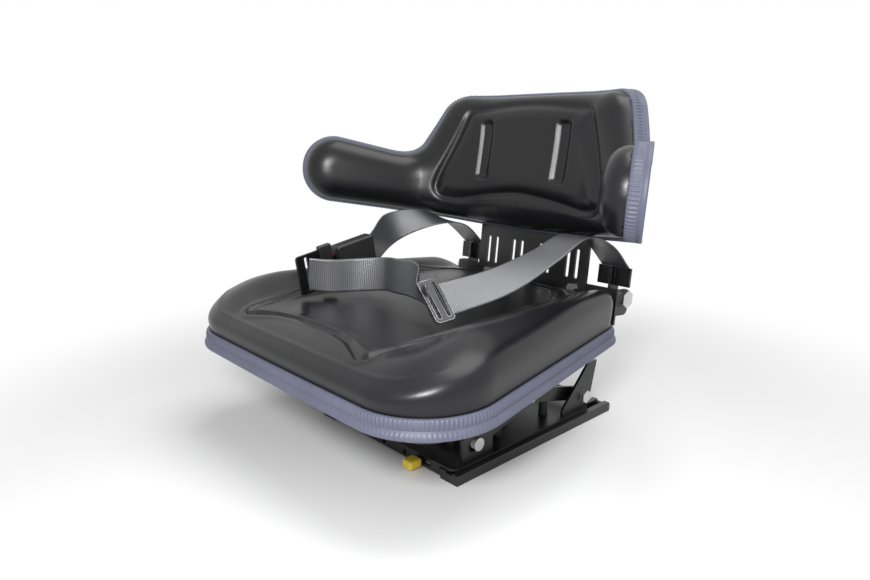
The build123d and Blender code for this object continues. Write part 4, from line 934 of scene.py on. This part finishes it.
def belt_strap(name, route, replaced):
    """Webbing along a route: a flat section with round edges, turned to the direction across at each step."""
    points = np.array([point for point, _ in route])
    at = np.concatenate([[0], np.cumsum(np.linalg.norm(np.diff(points, axis=0), axis=1))])
    centre = smooth_path(at, points, BELT_STEPS)
    across = smooth_path(at, [direction for _, direction in route], BELT_STEPS)
    along = np.gradient(centre, axis=0)
    along /= np.linalg.norm(along, axis=1)[:, None]
    across -= along * np.sum(across * along, axis=1)[:, None]
    across /= np.linalg.norm(across, axis=1)[:, None]
    face = np.cross(across, along)
    half, thick = BELT_WIDTH / 2, BELT_SHEET / 2
    flat = np.linspace(-1, 1, BELT_POINTS)
    hem = np.exp(-(((np.abs(flat) - BELT_HEM) / HEM_WIDTH) ** 2))
    edge = thick * (1 - np.abs(flat) ** BELT_EDGE_POWER) ** 0.5 + HEM_RISE * hem
    side = np.concatenate([flat, flat[-2:0:-1]]) * half
    lift = np.concatenate([edge, -edge[-2:0:-1]])
    rings = (
        centre[:, None]
        + across[:, None] * side[None, :, None]
        + face[:, None] * lift[None, :, None]
    )
    length = float(np.sum(np.linalg.norm(np.diff(centre, axis=0), axis=1)))
    piece = carried(name, rings, webbing, "seat", closed_path=False, uv_scale=(length, 2 * BELT_WIDTH))
    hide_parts(replaced)


def coil_spring(side, replaced):
    """Round wire on a helix; the first and last turns lie nearly flat, as closed ends do."""
    low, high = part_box(replaced)
    turn = np.linspace(0, 1, SPRING_STEPS)
    rise = np.interp(turn, [0, SPRING_END, 1 - SPRING_END, 1], [0, SPRING_CLOSED, 1 - SPRING_CLOSED, 1])
    kernel = np.ones(SPRING_SMOOTH) / SPRING_SMOOTH
    rise = np.convolve(np.pad(rise, SPRING_SMOOTH // 2, mode="edge"), kernel, mode="valid")
    rise = (rise - rise[0]) / (rise[-1] - rise[0])
    angle = 2 * np.pi * SPRING_TURNS * turn
    bottom, top = low.z + SPRING_WIRE, high.z - SPRING_WIRE
    middle = (low.x + high.x) / 2
    centre = np.stack([
        middle + SPRING_RADIUS * np.cos(angle),
        SPRING_RADIUS * np.sin(angle) * side,
        bottom + (top - bottom) * rise,
    ], axis=1)
    along = np.gradient(centre, axis=0)
    along /= np.linalg.norm(along, axis=1)[:, None]
    out = np.stack([np.cos(angle), np.sin(angle) * side, np.zeros_like(angle)], axis=1)
    up = np.cross(along, out)
    around = np.linspace(0, 2 * np.pi, WIRE_SIDES, endpoint=False)
    rings = centre[:, None] + SPRING_WIRE * (
        out[:, None] * np.cos(around)[None, :, None] + up[:, None] * np.sin(around)[None, :, None]
    )
    piece = carried(f"{replaced}_wire", rings, paint, "carriage", closed_path=False)
    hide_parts(replaced)
    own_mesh(piece)


seat_cushion()
seat_edge_strip()
back_cushion()
back_edge_strip()
belt_strap("belt_webbing_left", LEFT_ROUTE, "belt_strap_left")
belt_strap("belt_webbing_lap", LAP_ROUTE, "belt_strap_lap")
belt_strap("belt_webbing_right", RIGHT_ROUTE, "belt_strap_right")
coil_spring(1, "suspension_spring_left")
coil_spring(-1, "suspension_spring_right")


# Stage, light and camera


def stage():
    """A pale floor under the seat that turns to plain white further off, where it is looked at.

    The share of white is a ramp of the distance from the middle, for camera, reflection and glass rays.
    """
    corners = [(-FLOOR_HALF, -FLOOR_HALF, 0), (FLOOR_HALF, -FLOOR_HALF, 0), (FLOOR_HALF, FLOOR_HALF, 0)]
    corners.append((-FLOOR_HALF, FLOOR_HALF, 0))
    mesh = bpy.data.meshes.new("floor")
    mesh.from_pydata(corners, [], [(0, 1, 2, 3)])
    material, tree, shader = new_material("floor")
    shader.inputs["Base Color"].default_value = (0.85, 0.85, 0.85, 1)
    shader.inputs["Roughness"].default_value = 0.9
    shader.inputs["Specular IOR Level"].default_value = 0.0
    link = tree.links.new
    place = tree.nodes.new("ShaderNodeTexCoord")
    far = node(tree, "ShaderNodeVectorMath", operation="LENGTH")
    white_from = node(tree, "ShaderNodeMapRange", interpolation_type="SMOOTHSTEP")
    white_from.inputs["From Min"].default_value = WHITE_FROM
    white_from.inputs["From Max"].default_value = WHITE_TO
    share = node(tree, "ShaderNodeMath", operation="MULTIPLY")
    white = tree.nodes.new("ShaderNodeEmission")
    mix = tree.nodes.new("ShaderNodeMixShader")
    out = tree.nodes["Material Output"]
    link(place.outputs["Object"], far.inputs[0])
    link(far.outputs["Value"], white_from.inputs["Value"])
    link(white_from.outputs["Result"], share.inputs[0])
    link(looked_at(tree), share.inputs[1])
    link(share.outputs["Value"], mix.inputs[0])
    link(shader.outputs[0], mix.inputs[1])
    link(white.outputs[0], mix.inputs[2])
    link(mix.outputs[0], out.inputs["Surface"])
    mesh.materials.append(material)
    floor = bpy.data.objects.new("floor", mesh)
    bpy.context.scene.collection.objects.link(floor)


def looked_at(tree):
    """One for rays of the camera, of reflections and through glass, nought for the rest."""
    path = tree.nodes.new("ShaderNodeLightPath")
    first = node(tree, "ShaderNodeMath", operation="MAXIMUM")
    second = node(tree, "ShaderNodeMath", operation="MAXIMUM")
    tree.links.new(path.outputs["Is Camera Ray"], first.inputs[0])
    tree.links.new(path.outputs["Is Glossy Ray"], first.inputs[1])
    tree.links.new(first.outputs["Value"], second.inputs[0])
    tree.links.new(path.outputs["Is Transmission Ray"], second.inputs[1])
    return second.outputs["Value"]


def area_light(name, place, target, size, power):
    """A soft rectangular lamp aimed at a point."""
    lamp = bpy.data.lights.new(name, "AREA")
    lamp.shape = "RECTANGLE"
    lamp.size, lamp.size_y = size
    lamp.energy = power
    made = bpy.data.objects.new(name, lamp)
    direction = np.array(target) - np.array(place)
    made.location = place
    made.rotation_mode = "QUATERNION"
    made.rotation_quaternion = Vector(direction).to_track_quat("-Z", "Y")
    bpy.context.scene.collection.objects.link(made)


def world_light():
    """White where the camera, a reflection or glass looks at it, and an even dim light elsewhere."""
    world = bpy.data.worlds.new("studio")
    bpy.context.scene.world = world
    world.use_nodes = True
    tree = world.node_tree
    background = tree.nodes["Background"]
    background.inputs["Color"].default_value = (1, 1, 1, 1)
    strength = ramp(tree, AMBIENT, 1.0)
    tree.links.new(looked_at(tree), strength.inputs["Value"])
    tree.links.new(strength.outputs["Result"], background.inputs["Strength"])


def camera():
    """The photograph's view: focal length in pixels over the picture's width."""
    data = bpy.data.cameras.new("camera")
    data.sensor_width = SENSOR
    data.lens = FOCAL_PIXELS / PICTURE_WIDTH * SENSOR
    made = bpy.data.objects.new("camera", data)
    made.location = CAMERA_PLACE
    made.rotation_euler = [radians(a) for a in CAMERA_TURN]
    bpy.context.scene.collection.objects.link(made)
    bpy.context.scene.camera = made


stage()
world_light()
area_light("flash", place=(0.62, -0.82, 0.62), target=(0.0, -0.1, 0.25), size=(0.22, 0.16), power=10)
area_light("ceiling", place=(0.5, 0.3, 2.2), target=(0, 0, 0.2), size=(1.6, 1.6), power=30)
camera()
bpy.context.scene.view_settings.view_transform = "Standard"
